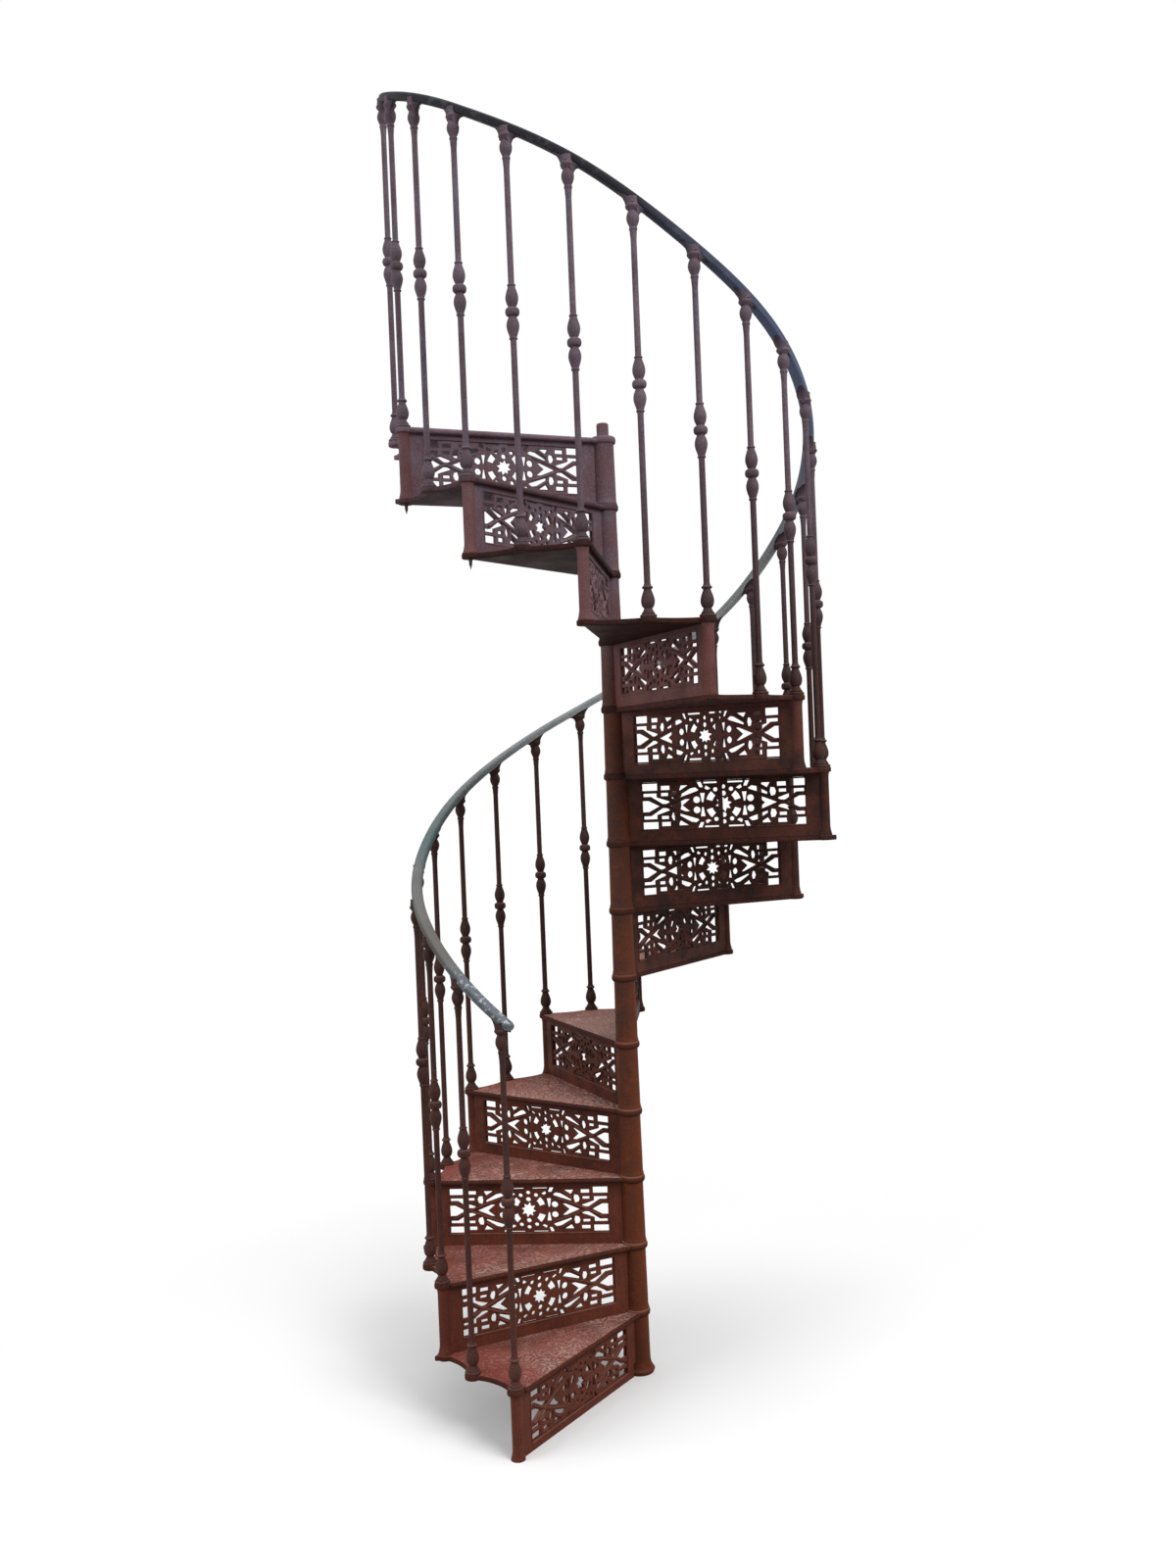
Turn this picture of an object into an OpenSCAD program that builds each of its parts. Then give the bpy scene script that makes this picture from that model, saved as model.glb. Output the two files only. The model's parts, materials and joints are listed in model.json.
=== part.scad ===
// Cast-iron spiral staircase: wedge treads on a sleeved column, pierced risers with
// round posts, two turned balusters to a step and a helical handrail.
// Millimetres, +Z up. The origin is the centre of the column's foot, on the floor.
// The steps climb clockwise seen from above, and each riser lies along a radius.

/* [Stair] */
// Height of one step
rise = 190; // [175:1:205]
// How much lower the first step is than the others
first_cut = 13; // [0:1:16]
// Turn of one step in degrees
turn = 30.3; // [28:0.1:32]
// Direction of the first riser in degrees from +X
first_angle = 237; // [0:1:359]
// Radius of the circle on which the posts and balusters stand
post_circle_r = 580; // [560:1:640]

/* [Column] */
// Diameter of the rod that runs up through all the sleeves
pole_d = 34; // [26:1:38]
// Height of the rod's end above the top tread
pole_end_h = 46; // [28:1:60]
// Bevel round the rod's end
pole_bevel = 5; // [2:0.5:10]
// Outer diameter of the sleeves
sleeve_d = 62; // [54:1:66]
// Outer diameter of the collar round each tread's eye
collar_d = 72; // [68:1:80]
// Height of the collar above the tread
collar_lift = 6; // [2:1:10]
// Outer diameter of the flared foot
foot_d = 86; // [82:1:120]
// Height of the flared foot
foot_h = 36; // [27:1:45]
// Height of the foot's straight rim
foot_rim_h = 14; // [6:1:18]

/* [Treads] */
// Thickness of a tread plate
tread_t = 14; // [10:1:18]
// Reach of the tread in front of the riser's middle
nosing_reach = 16; // [14:1:22]
// Diameter of the rounded nosing
nosing_d = 15; // [12:1:18]
// Radius of the rounded lobe under each baluster
lobe_r = 22; // [22:0.5:26]
// Reach of the back corner's point beyond the post circle
point_reach = 30; // [28:1:40]
// Depth of the hollow edge between two lobes
scallop_depth = 7; // [3:1:12]
// Length of the hollow edge between two lobes
scallop_l = 96; // [70:1:104]

/* [Risers] */
// Diameter of the round post at the outer end
post_d = 28; // [22:1:32]
// Diameter of the post's flared foot
flare_d = 37; // [34:1:43]
// Height of the post's flared foot
flare_h = 22; // [14:1:28]
// Thickness of the riser's frame
frame_t = 14; // [10:1:18]
// Thickness of the pierced panel
panel_t = 8; // [5:1:10]
// Radius at which the pierced panel starts
panel_start_r = 68; // [60:1:90]
// Width of the flat stile between the panel and the post's middle
stile_w = 48; // [36:1:60]
// Height of the riser's bottom rail
bottom_rail_h = 29; // [20:1:40]
// Height of the riser's top rail
top_rail_h = 10; // [7:1:20]

/* [Balusters] */
// Height of the handrail's middle above the nosing line
rail_h = 914; // [850:1:980]
// Diameter of a baluster's shaft
shaft_d = 15; // [12:1:18]
// Diameter of a baluster's foot disc
base_d = 42; // [36:1:44]
// Height of a baluster's foot disc
base_h = 12; // [8:1:16]
// Diameter of the pear above the foot disc
pear_d = 34; // [28:1:36]
// Height of the pear and the ring above it
pear_h = 70; // [56:1:84]
// Diameter of the rings at the ends of the turned shapes
ring_d = 24; // [22:1:30]
// Height of such a ring
ring_h = 7; // [5:1:9]
// Diameter of the necks between the turned shapes
neck_d = 20; // [19:1:21]
// Diameter of the bead in the middle knop
knop_d = 37; // [32:1:40]
// Height of the bead in the middle knop
bead_h = 22; // [16:1:28]
// Diameter of the vases above and below that bead
vase_d = 33; // [26:1:34]
// Height of the whole middle knop
knop_h = 140; // [120:1:160]
// Distance of the knop's middle below the handrail's middle
knop_drop = 453; // [400:1:500]
// Diameter of the turned head under the handrail
head_d = 29; // [25:1:34]
// Height of the turned head under the handrail
head_h = 92; // [86:1:120]
// Diameter of the flange between that head and the cup above it
flange_d = 39; // [32:1:44]
// Height of that flange
flange_h = 9; // [6:1:12]
// Diameter of the pendant nuts under the upper treads
pendant_d = 12; // [9:1:18]
// Height of a pendant nut
pendant_h = 26; // [18:1:36]

/* [Handrail] */
// Distance of the handrail's middle inside the balusters' circle
rail_inset = 6; // [0:0.5:9]
// Width of the handrail
rail_w = 31; // [28:1:40]
// Thickness of the handrail
rail_t = 22; // [18:1:30]
// Length of handrail before the first baluster
rail_lead = 30; // [26:1:120]
// Length of handrail after the last baluster
rail_tail = 26; // [26:1:120]
// Length over which the upper end grows less steep
rail_ease = 480; // [300:1:600]
// Greatest departure of the bent old handrail from its even climb
rail_waver = 60; // [0:1:70]

/* [Hidden] */
steps = 14;
// Number of treads below the top one with a pendant nut under the back corner
pendants = 2;
// Clearance between curved faces
fit = 0.4;
// Length by which a cut runs past what it cuts
overrun = 3;
$fn = 48;
pole_r = pole_d / 2;
sleeve_r = sleeve_d / 2;
collar_r = collar_d / 2;
post_r = post_d / 2;
rail_circle_r = post_circle_r - rail_inset;
top_z = level(steps);
riser_h = rise - tread_t;
half_turn = turn / 2;
// Height of the collar, which a sleeve leaves out
collar_h = tread_t + collar_lift;
// The pierced panel's half sizes and middle
panel_end_r = post_circle_r - stile_w;
panel_hw = (panel_end_r - panel_start_r) / 2;
panel_hh = (riser_h - bottom_rail_h - top_rail_h) / 2;
panel_mid_r = (panel_end_r + panel_start_r) / 2;
panel_mid_z = bottom_rail_h + panel_hh;
// Openings of one quarter of the panel, as shares of its half width and half height
corner_pane_shares = [[0.80, 0.65], [1, 0.65], [1, 0.88], [0.97, 1], [0.80, 1]];
end_arrow_shares = [[0.78, 0], [0.91, 0.23], [1, 0.23], [1, 0]];
crank_slot_shares = [[0.66, 0.09], [0.74, 0.09], [0.88, 0.40], [0.97, 0.40], [0.97, 0.53], [0.81, 0.53],
    [0.81, 0.36], [0.66, 0.19]];
upper_pane_shares = [[0.65, 0.66], [0.755, 0.66], [0.755, 0.83], [0.65, 0.83]];
lower_pane_shares = [[0.67, 0.41], [0.755, 0.41], [0.755, 0.54], [0.67, 0.54]];
lens_shares = [[0.575, 0.26], [0.62, 0.30], [0.635, 0.45], [0.615, 0.60], [0.57, 0.62], [0.56, 0.45]];
top_triangle_shares = [[0.43, 0.82], [0.56, 0.82], [0.525, 0.62]];
leaf_shares = [[0.30, 0.62], [0.34, 0.72], [0.40, 0.68], [0.53, 0.42], [0.525, 0.34], [0.32, 0.57]];
inner_arrow_shares = [[0.64, 0], [0.46, 0.25], [0.41, 0.25], [0.50, 0]];
waist_shares = [[0.225, 0.48], [0.28, 0.48], [0.262, 0.10], [0.245, 0.10]];
slant_shares = [[0.245, 0.72], [0.285, 0.72], [0.325, 1], [0.275, 1]];
top_bar_shares = [[0.055, 0.87], [0.235, 0.87], [0.235, 1], [0.055, 1]];
side_petal_shares = [[0.155, 0.66], [0.21, 0.78], [0.225, 0.66], [0.19, 0.60]];
// Places of the round openings as shares of the same half sizes
eye_place_shares = [0.325, 0.21];
drop_place_share = 0.44;
petal_place_shares = [0.095, 0.61];
crown_place_share = 0.72;
// Sizes of the round openings and of the star as shares of the panel's half height
eye_share = 0.135;
drop_share = 0.10;
petal_share = 0.085;
star_tip_share = 0.34;
star_root_share = 0.20;
ring_outer_share = 0.73;
ring_inner_share = 0.48;
ring_angle = 32;
ring_half_angle = 15;
star_points = 8;
// Outline of the handrail as shares of its half width and half thickness
rail_profile_shares = [[-0.72, -1], [0.72, -1], [1, -0.55], [1, 0.15], [0.74, 0.74], [0.28, 1],
    [-0.28, 1], [-0.74, 0.74], [-1, 0.15], [-1, -0.55]];
// Steepness of the upper end as a share of the stair's
rail_end_share = 0.6;
// Departure of the handrail from its even climb, at every step from one below the floor to 17
waver_shares = [0.1, 0.1, 0.12, 0.22, -0.08, 0, -0.24, -0.76, -1, -0.42, -0.12, 0, -0.08, 0.3, 0.14, -0.1,
    0, 0, 0];
// Rings of the handrail to one step, and the sizes of its rounded ends
rings_per_step = 12;
end_size_shares = [0.45, 0.80, 0.95];
end_place_shares = [0, 0.12, 0.40];
// Heights in the turned shapes as shares of the shape's own height
pear_neck_share = 0.14;
pear_belly_share = 0.46;
vase_belly_share = 0.56;
head_foot_share = 0.24;
head_belly_share = 0.56;
head_neck_share = 0.75;
head_flange_share = 0.80;
shaft_r = shaft_d / 2;
neck_r = neck_d / 2;
ring_r = ring_d / 2;
// Radius of the cup between a baluster's flange and the handrail
cup_r = (flange_d / 2 + ring_r) / 2;

// Direction of the place s steps up, where 1 is the first riser
function dir(s) = first_angle - turn * (s - 1);
// Length of the handrail's path over one step, seen from above
function step_l() = rail_circle_r * turn * PI / 180;
// Height of the nosing line s steps up
function level(s) = s * rise - first_cut;
// Place along the stair, in steps, of the two ends of the handrail and of its levelling
function rail_first() = 1 - rail_lead / step_l();
function rail_last() = steps + 0.5 + rail_tail / step_l();
function ease_first() = rail_last() - rail_ease / step_l();
function eased(s) = max(0, s - ease_first());
// Share of its steepness that the handrail loses from there on to the place s
function rail_loss(s) = (1 - rail_end_share) * eased(s) / (rail_last() - ease_first());
// Cubic curve through four even values, t of the way from the second to the third, and its rate there
function curve(p, t) = p[1] + t / 2 * (p[2] - p[0]
    + t * (2 * p[0] - 5 * p[1] + 4 * p[2] - p[3] + t * (3 * (p[1] - p[2]) + p[3] - p[0])));
function curve_rate(p, t) = (p[2] - p[0]) / 2
    + t * (2 * p[0] - 5 * p[1] + 4 * p[2] - p[3] + t * 3 / 2 * (3 * (p[1] - p[2]) + p[3] - p[0]));
// The four departures of the handrail round the place s
function wavers(s) = [for (i = [0:3]) rail_waver * waver_shares[floor(s) + i]];
// Height of the handrail's middle
function rail_z(s) = rail_h + level(s - rail_loss(s) * eased(s) / 2) + curve(wavers(s), s - floor(s));
// Slope angle of the handrail
function rail_slope(s) = atan2(rise * (1 - rail_loss(s)) + curve_rate(wavers(s), s - floor(s)), step_l());

module at_step(s) { rotate([0, 0, dir(s)]) children(); }

module bore(h) { translate([0, 0, -overrun]) cylinder(r = pole_r + fit, h = h + 2 * overrun); }

// Rod with a bevelled end
module newel_pole() {
    color("saddlebrown") {
        cylinder(r = pole_r, h = top_z + pole_end_h - pole_bevel);
        translate([0, 0, top_z + pole_end_h - pole_bevel])
            cylinder(r1 = pole_r, r2 = pole_r - pole_bevel, h = pole_bevel);
    }
}

// Spacer tube below tread k
module sleeve(k) {
    bottom = k == 1 ? foot_h : level(k - 1) + collar_lift;
    h = level(k) - tread_t - bottom;
    translate([0, 0, bottom]) difference() {
        cylinder(r = sleeve_r, h = h);
        bore(h);
    }
}

// Flared foot round the rod's lower end
module column_foot() {
    difference() {
        union() {
            cylinder(d = foot_d, h = foot_rim_h);
            translate([0, 0, foot_rim_h]) cylinder(r1 = foot_d / 2, r2 = sleeve_r, h = foot_h - foot_rim_h);
        }
        bore(foot_h);
    }
}

module column_sleeves() {
    color("sienna") {
        column_foot();
        for (k = [1:steps]) sleeve(k);
    }
}

// Hollow edge between two lobes, as a large circle that cuts the plate
module scallop(s) {
    r = (pow(scallop_l / 2, 2) + pow(scallop_depth, 2)) / (2 * scallop_depth);
    rotate(dir(s) - first_angle)
        translate([post_circle_r * cos(turn / 4) + r - scallop_depth, 0]) circle(r = r, $fn = 96);
}

// Outline of a tread with the riser's middle along +X
module tread_outline() {
    difference() {
        polygon([[0, nosing_reach], [post_circle_r, nosing_reach],
            [post_circle_r, 0],
            post_circle_r * [cos(half_turn), -sin(half_turn)],
            post_circle_r * [cos(turn), -sin(turn)],
            post_circle_r * [cos(turn), -sin(turn)] - frame_t / 2 * [sin(turn), cos(turn)],
            -frame_t / 2 * [sin(turn), cos(turn)]]);
        scallop(1.25);
        scallop(1.75);
    }
    for (s = [1, 1.5]) rotate(dir(s) - first_angle) translate([post_circle_r, 0]) circle(r = lobe_r);
    rotate(-turn) translate([post_circle_r, 0]) {
        circle(r = lobe_r);
        polygon([[0, lobe_r], [point_reach, 0], [0, -lobe_r]]);
    }
}

// Tread k with its collar round the rod and its rounded nosing
module tread(k) {
    color("rosybrown") translate([0, 0, level(k) - tread_t]) difference() {
        union() {
            at_step(k) {
                linear_extrude(height = tread_t) tread_outline();
                translate([collar_r / 2, nosing_reach, tread_t / 2]) rotate([0, 90, 0])
                    cylinder(d = nosing_d, h = post_circle_r - lobe_r - collar_r / 2);
            }
            cylinder(r = collar_r, h = collar_h);
        }
        bore(collar_h);
    }
}

// Outline given in shares of the panel's half sizes, in all four quarters
module quarters(shares) {
    for (u = [1, -1], v = [1, -1])
        polygon([for (p = shares) [u * p[0] * panel_hw, v * p[1] * panel_hh]]);
}

// Round opening given by its place in shares, in all four quarters
module round_quarters(place, r) {
    for (u = [1, -1], v = [1, -1])
        translate([u * place[0] * panel_hw, v * place[1] * panel_hh]) circle(r = r);
}

// Outline joined with its mirror image across the panel's long middle line
module mirrored_arrow(shares) {
    for (u = [1, -1]) polygon(concat(
        [for (p = shares) [u * p[0] * panel_hw, p[1] * panel_hh]],
        [for (i = [len(shares) - 2:-1:1]) [u * shares[i][0] * panel_hw, -shares[i][1] * panel_hh]]));
}

// Pointed star in the middle of the panel
module star() {
    polygon([for (i = [0:2 * star_points - 1])
        panel_hh * (i % 2 == 0 ? star_tip_share : star_root_share)
            * [cos(180 * (i + 0.5) / star_points), sin(180 * (i + 0.5) / star_points)]]);
}

// Four curved openings round the star
module ring_quarters() {
    for (a = [ring_angle, 180 - ring_angle, 180 + ring_angle, -ring_angle]) polygon(concat(
        [for (i = [-3:3]) panel_hh * ring_outer_share
            * [cos(a + i * ring_half_angle / 3), sin(a + i * ring_half_angle / 3)]],
        [for (i = [3:-1:-3]) panel_hh * ring_inner_share
            * [cos(a + i * ring_half_angle / 3), sin(a + i * ring_half_angle / 3)]]));
}

// All openings of the pierced panel, about its middle
module openings() {
    quarters(corner_pane_shares);
    mirrored_arrow(end_arrow_shares);
    quarters(crank_slot_shares);
    quarters(upper_pane_shares);
    quarters(lower_pane_shares);
    quarters(lens_shares);
    quarters(top_triangle_shares);
    quarters(leaf_shares);
    mirrored_arrow(inner_arrow_shares);
    quarters(waist_shares);
    quarters(slant_shares);
    quarters(top_bar_shares);
    quarters(side_petal_shares);
    round_quarters(eye_place_shares, eye_share * panel_hh);
    round_quarters(petal_place_shares, petal_share * panel_hh);
    for (v = [1, -1]) {
        translate([0, v * drop_place_share * panel_hh]) circle(r = drop_share * panel_hh);
        translate([0, v * crown_place_share * panel_hh]) circle(r = petal_share * panel_hh);
    }
    star();
    ring_quarters();
}

// Plate in the plane of a radius and the upright, of thickness t
module upright(t) { rotate([90, 0, 0]) translate([0, 0, -t / 2]) linear_extrude(height = t) children(); }

// Riser k: a frame, a thinner pierced panel and a round post with a flared foot. The first is cut
// off at the floor.
module riser(k) {
    base = k == 1 ? first_cut : 0;
    color("maroon") translate([0, 0, level(k - 1)]) at_step(k) difference() {
        union() {
            upright(frame_t) difference() {
                translate([sleeve_r + fit, base]) square([post_circle_r - sleeve_r - fit, riser_h - base]);
                translate([panel_start_r, bottom_rail_h]) square(2 * [panel_hw, panel_hh]);
            }
            upright(panel_t) translate([panel_mid_r, panel_mid_z]) difference() {
                square(2 * [panel_hw + overrun, panel_hh + overrun], center = true);
                openings();
            }
            translate([post_circle_r, 0, base]) {
                cylinder(r = post_r, h = riser_h - base);
                cylinder(d1 = flare_d, d2 = post_d, h = flare_h);
            }
        }
        translate([0, 0, base - overrun]) cylinder(r = (k == 1 ? foot_d / 2 : collar_r) + fit,
            h = (k == 1 ? foot_h : collar_lift) + fit + overrun);
    }
}

// One half of the middle knop, from its bead out to its end, as [radius, height] pairs
function half_knop() = [[knop_d / 2, bead_h / 4], [neck_r, bead_h / 2],
    [vase_d / 2, knop_h / 2 * vase_belly_share], [neck_r, knop_h / 2 - 2 * ring_h],
    [ring_r, knop_h / 2 - 3 * ring_h / 2], [ring_r, knop_h / 2 - ring_h / 2], [shaft_r, knop_h / 2]];

// Turned baluster that stands l below the handrail's middle and ends on its sloping underside
module baluster(l, slope) {
    knop_z = l - knop_drop;
    half = half_knop();
    pear_z = base_h + pear_h;
    head_z = l - rail_t / 2 - head_h;
    difference() {
        rotate_extrude() polygon(concat(
            [[0, 0], [base_d / 2, 0], [base_d / 2, base_h / 2], [ring_r, base_h],
                [neck_r, base_h + pear_h * pear_neck_share],
                [pear_d / 2, base_h + pear_h * pear_belly_share], [neck_r, pear_z - 2 * ring_h],
                [ring_r, pear_z - 3 * ring_h / 2], [ring_r, pear_z - ring_h / 2], [shaft_r, pear_z]],
            [for (i = [len(half) - 1:-1:0]) [half[i][0], knop_z - half[i][1]]],
            [for (p = half) [p[0], knop_z + p[1]]],
            [[shaft_r, head_z], [neck_r, head_z + head_h * head_foot_share],
                [neck_r, head_z + head_h * head_foot_share + ring_h],
                [head_d / 2, head_z + head_h * head_belly_share], [neck_r, head_z + head_h * head_neck_share],
                [flange_d / 2, head_z + head_h * head_flange_share],
                [flange_d / 2, head_z + head_h * head_flange_share + flange_h],
                [cup_r, head_z + head_h * head_flange_share + flange_h],
                [cup_r, l + rail_t], [0, l + rail_t]]));
        translate([rail_circle_r - post_circle_r, 0, l]) rotate([-slope, 0, 0])
            translate([-2 * rail_w, -2 * rail_w, -rail_t / 2 - fit])
                cube([4 * rail_w, 4 * rail_w, 6 * rail_t]);
    }
}

// Pointed nut hanging under a tread's back corner
module pendant() {
    mirror([0, 0, 1]) {
        cylinder(d = pendant_d, h = pendant_h / 3);
        translate([0, 0, pendant_h / 3]) cylinder(d1 = pendant_d, d2 = pendant_d / 4, h = pendant_h * 2 / 3);
    }
}

// The two balusters on tread k, and on the upper treads the nut that holds the next post
module balusters(k) {
    color("dimgray") {
        for (s = [k, k + 0.5]) at_step(s) translate([post_circle_r, 0, level(k)])
            baluster(rail_z(s) - level(k), rail_slope(s));
        if (k >= steps - pendants && k < steps)
            at_step(k + 1) translate([post_circle_r, 0, level(k) - tread_t]) pendant();
    }
}

// Corner i of the handrail's outline at the place s, with the outline shrunk to a share
function rail_point(s, i, share) = let (
        p = rail_profile_shares[i],
        x = share * p[0] * rail_w / 2,
        n = share * p[1] * rail_t / 2,
        r = rail_circle_r + x,
        t = n * sin(rail_slope(s)))
    [r * cos(dir(s)) - t * sin(dir(s)), r * sin(dir(s)) + t * cos(dir(s)),
        rail_z(s) + n * cos(rail_slope(s))];

// Helical handrail, swept as rings of its outline with rounded ends
module handrail() {
    end_l = rail_w / 2 / step_l();
    ends = len(end_size_shares);
    count = ceil((rail_last() - rail_first() - 2 * end_l) * rings_per_step);
    places = concat(
        [for (i = [0:ends - 1]) [rail_first() + end_l * end_place_shares[i], end_size_shares[i]]],
        [for (i = [0:count])
            [rail_first() + end_l + (rail_last() - rail_first() - 2 * end_l) * i / count, 1]],
        [for (i = [ends - 1:-1:0]) [rail_last() - end_l * end_place_shares[i], end_size_shares[i]]]);
    m = len(rail_profile_shares);
    rows = len(places);
    color("slategray") polyhedron(
        points = [for (p = places, i = [0:m - 1]) rail_point(p[0], i, p[1])],
        faces = concat(
            [[for (i = [0:m - 1]) i]],
            [for (j = [0:rows - 2], i = [0:m - 1])
                [j * m + i, (j + 1) * m + i, (j + 1) * m + (i + 1) % m, j * m + (i + 1) % m]],
            [[for (i = [m - 1:-1:0]) (rows - 1) * m + i]]),
        convexity = 8);
}

newel_pole();
column_sleeves();
handrail();
tread(1);  // tread_01
tread(2);  // tread_02
tread(3);  // tread_03
tread(4);  // tread_04
tread(5);  // tread_05
tread(6);  // tread_06
tread(7);  // tread_07
tread(8);  // tread_08
tread(9);  // tread_09
tread(10);  // tread_10
tread(11);  // tread_11
tread(12);  // tread_12
tread(13);  // tread_13
tread(14);  // tread_14
riser(1);  // riser_01
riser(2);  // riser_02
riser(3);  // riser_03
riser(4);  // riser_04
riser(5);  // riser_05
riser(6);  // riser_06
riser(7);  // riser_07
riser(8);  // riser_08
riser(9);  // riser_09
riser(10);  // riser_10
riser(11);  // riser_11
riser(12);  // riser_12
riser(13);  // riser_13
riser(14);  // riser_14
balusters(1);  // balusters_01
balusters(2);  // balusters_02
balusters(3);  // balusters_03
balusters(4);  // balusters_04
balusters(5);  // balusters_05
balusters(6);  // balusters_06
balusters(7);  // balusters_07
balusters(8);  // balusters_08
balusters(9);  // balusters_09
balusters(10);  // balusters_10
balusters(11);  // balusters_11
balusters(12);  // balusters_12
balusters(13);  // balusters_13
balusters(14);  // balusters_14
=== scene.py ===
"""Cast-iron spiral staircase: turned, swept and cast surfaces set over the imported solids.

Metres, +Z up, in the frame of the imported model. The steps climb clockwise seen from above.
"""

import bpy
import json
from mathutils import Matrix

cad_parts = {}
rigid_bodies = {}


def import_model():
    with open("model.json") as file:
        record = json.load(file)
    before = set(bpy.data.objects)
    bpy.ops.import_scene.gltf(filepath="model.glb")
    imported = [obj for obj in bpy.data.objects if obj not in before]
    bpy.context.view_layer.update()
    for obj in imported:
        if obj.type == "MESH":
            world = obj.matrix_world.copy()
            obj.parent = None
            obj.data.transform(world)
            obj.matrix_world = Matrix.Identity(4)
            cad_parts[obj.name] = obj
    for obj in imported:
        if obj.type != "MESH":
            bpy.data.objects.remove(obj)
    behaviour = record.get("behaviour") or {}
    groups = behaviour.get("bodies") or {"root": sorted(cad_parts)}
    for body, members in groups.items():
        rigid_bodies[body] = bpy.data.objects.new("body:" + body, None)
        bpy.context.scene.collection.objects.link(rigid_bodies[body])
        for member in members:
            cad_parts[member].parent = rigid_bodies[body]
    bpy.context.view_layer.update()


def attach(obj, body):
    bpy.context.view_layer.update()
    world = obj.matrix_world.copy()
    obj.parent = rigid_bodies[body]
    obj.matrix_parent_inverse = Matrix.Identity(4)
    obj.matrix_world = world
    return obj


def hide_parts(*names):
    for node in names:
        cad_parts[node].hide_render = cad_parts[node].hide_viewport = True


bl_info = {
    "name": "Cast-Iron Spiral Staircase",
    "version": (1, 0, 0),
    "blender": (4, 5, 0),
    "location": "3D View > Sidebar > Stair",
    "description": "Builds the finished surfaces of a cast-iron spiral staircase",
    "category": "Add Mesh",
}

import json
import math

import bmesh
import bpy
import numpy as np
from mathutils import Matrix, Vector

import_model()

STEPS = 14
# Treads below the top one with a pendant nut under the back corner
PENDANTS = 2

# Sizes and colours


def display(red, green, blue):
    """Linear light values of a colour given in display values from 0 to 255."""
    c = np.array([red, green, blue]) / 255
    return tuple(np.where(c <= 0.04045, c / 12.92, ((c + 0.055) / 1.055) ** 2.4)) + (1.0,)


def length(name, default, description):
    """A length in metres that a user may change."""
    return bpy.props.FloatProperty(name=name, description=description, default=default, unit="LENGTH")


def colour(name, default, description):
    """A colour that a user may change."""
    return bpy.props.FloatVectorProperty(
        name=name, description=description, default=default, subtype="COLOR", size=4, min=0, max=1)


class StairSizes(bpy.types.PropertyGroup):
    """Sizes of the staircase"""
    rise: length("Rise", 0.190, "Height of one step")
    first_cut: length("First cut", 0.013, "How much lower the first step is than the others")
    turn: bpy.props.FloatProperty(
        name="Turn", description="Turn of one step", default=math.radians(30.3), subtype="ANGLE")
    first_angle: bpy.props.FloatProperty(
        name="First riser", description="Direction of the first riser from +X",
        default=math.radians(237), subtype="ANGLE")
    post_circle: length("Post circle", 0.580, "Radius of the circle of posts and balusters")
    pole_r: length("Rod radius", 0.017, "Radius of the rod inside the column")
    pole_end: length("Rod end", 0.046, "Height of the rod's end above the top tread")
    pole_bevel: length("Rod bevel", 0.005, "Radius of the rounded edge of the rod's end")
    sleeve_r: length("Sleeve radius", 0.031, "Outer radius of the column's sleeves")
    collar_r: length("Collar radius", 0.036, "Outer radius of the collar round each tread's eye")
    collar_lift: length("Collar lift", 0.006, "Height of the collar above the tread")
    foot_r: length("Foot radius", 0.043, "Outer radius of the column's foot")
    foot_h: length("Foot height", 0.036, "Height of the column's foot")
    foot_rim: length("Foot rim", 0.014, "Height of the foot's rounded rim")
    tread_t: length("Tread", 0.014, "Thickness of a tread plate")
    nosing: length("Nosing", 0.016, "Reach of the tread in front of the riser's middle")
    nosing_r: length("Nosing roll", 0.0075, "Radius of the rounded nosing")
    lobe_r: length("Lobe", 0.022, "Radius of the rounded lobe under each baluster")
    point_reach: length("Point", 0.030, "Reach of the back corner's point beyond the post circle")
    scallop_depth: length("Scallop depth", 0.007, "Depth of the hollow edge between two lobes")
    scallop_l: length("Scallop length", 0.096, "Length of the hollow edge between two lobes")
    frame_t: length("Frame", 0.014, "Thickness of a riser's frame")
    panel_t: length("Panel", 0.008, "Thickness of a riser's pierced panel")
    panel_start: length("Panel start", 0.068, "Radius at which the pierced panel starts")
    stile: length("Stile", 0.048, "Width of the stile between the panel and the post's middle")
    bottom_rail: length("Bottom rail", 0.029, "Height of a riser's bottom rail")
    top_rail: length("Top rail", 0.010, "Height of a riser's top rail")
    post_r: length("Post radius", 0.014, "Radius of the round post at a riser's outer end")
    flare_r: length("Post foot", 0.0185, "Radius of the post's flared foot")
    flare_h: length("Post foot height", 0.022, "Height of the post's flared foot")
    rail_h: length("Rail height", 0.914, "Height of the handrail's middle above the nosing line")
    rail_inset: length("Rail inset", 0.006, "Distance of the handrail inside the balusters' circle")
    rail_w: length("Rail width", 0.031, "Width of the handrail")
    rail_t: length("Rail thickness", 0.022, "Thickness of the handrail")
    rail_lead: length("Rail lead", 0.030, "Length of handrail before the first baluster")
    rail_tail: length("Rail tail", 0.026, "Length of handrail after the last baluster")
    rail_ease: length("Rail ease", 0.480, "Length over which the handrail's upper end grows less steep")
    rail_waver: length("Rail waver", 0.060, "Greatest departure of the bent handrail from its even climb")
    knop_drop: length("Knop drop", 0.453, "Distance of a baluster's knop below the handrail's middle")
    pendant_h: length("Pendant", 0.026, "Height of the pendant nut under an upper tread")


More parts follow.
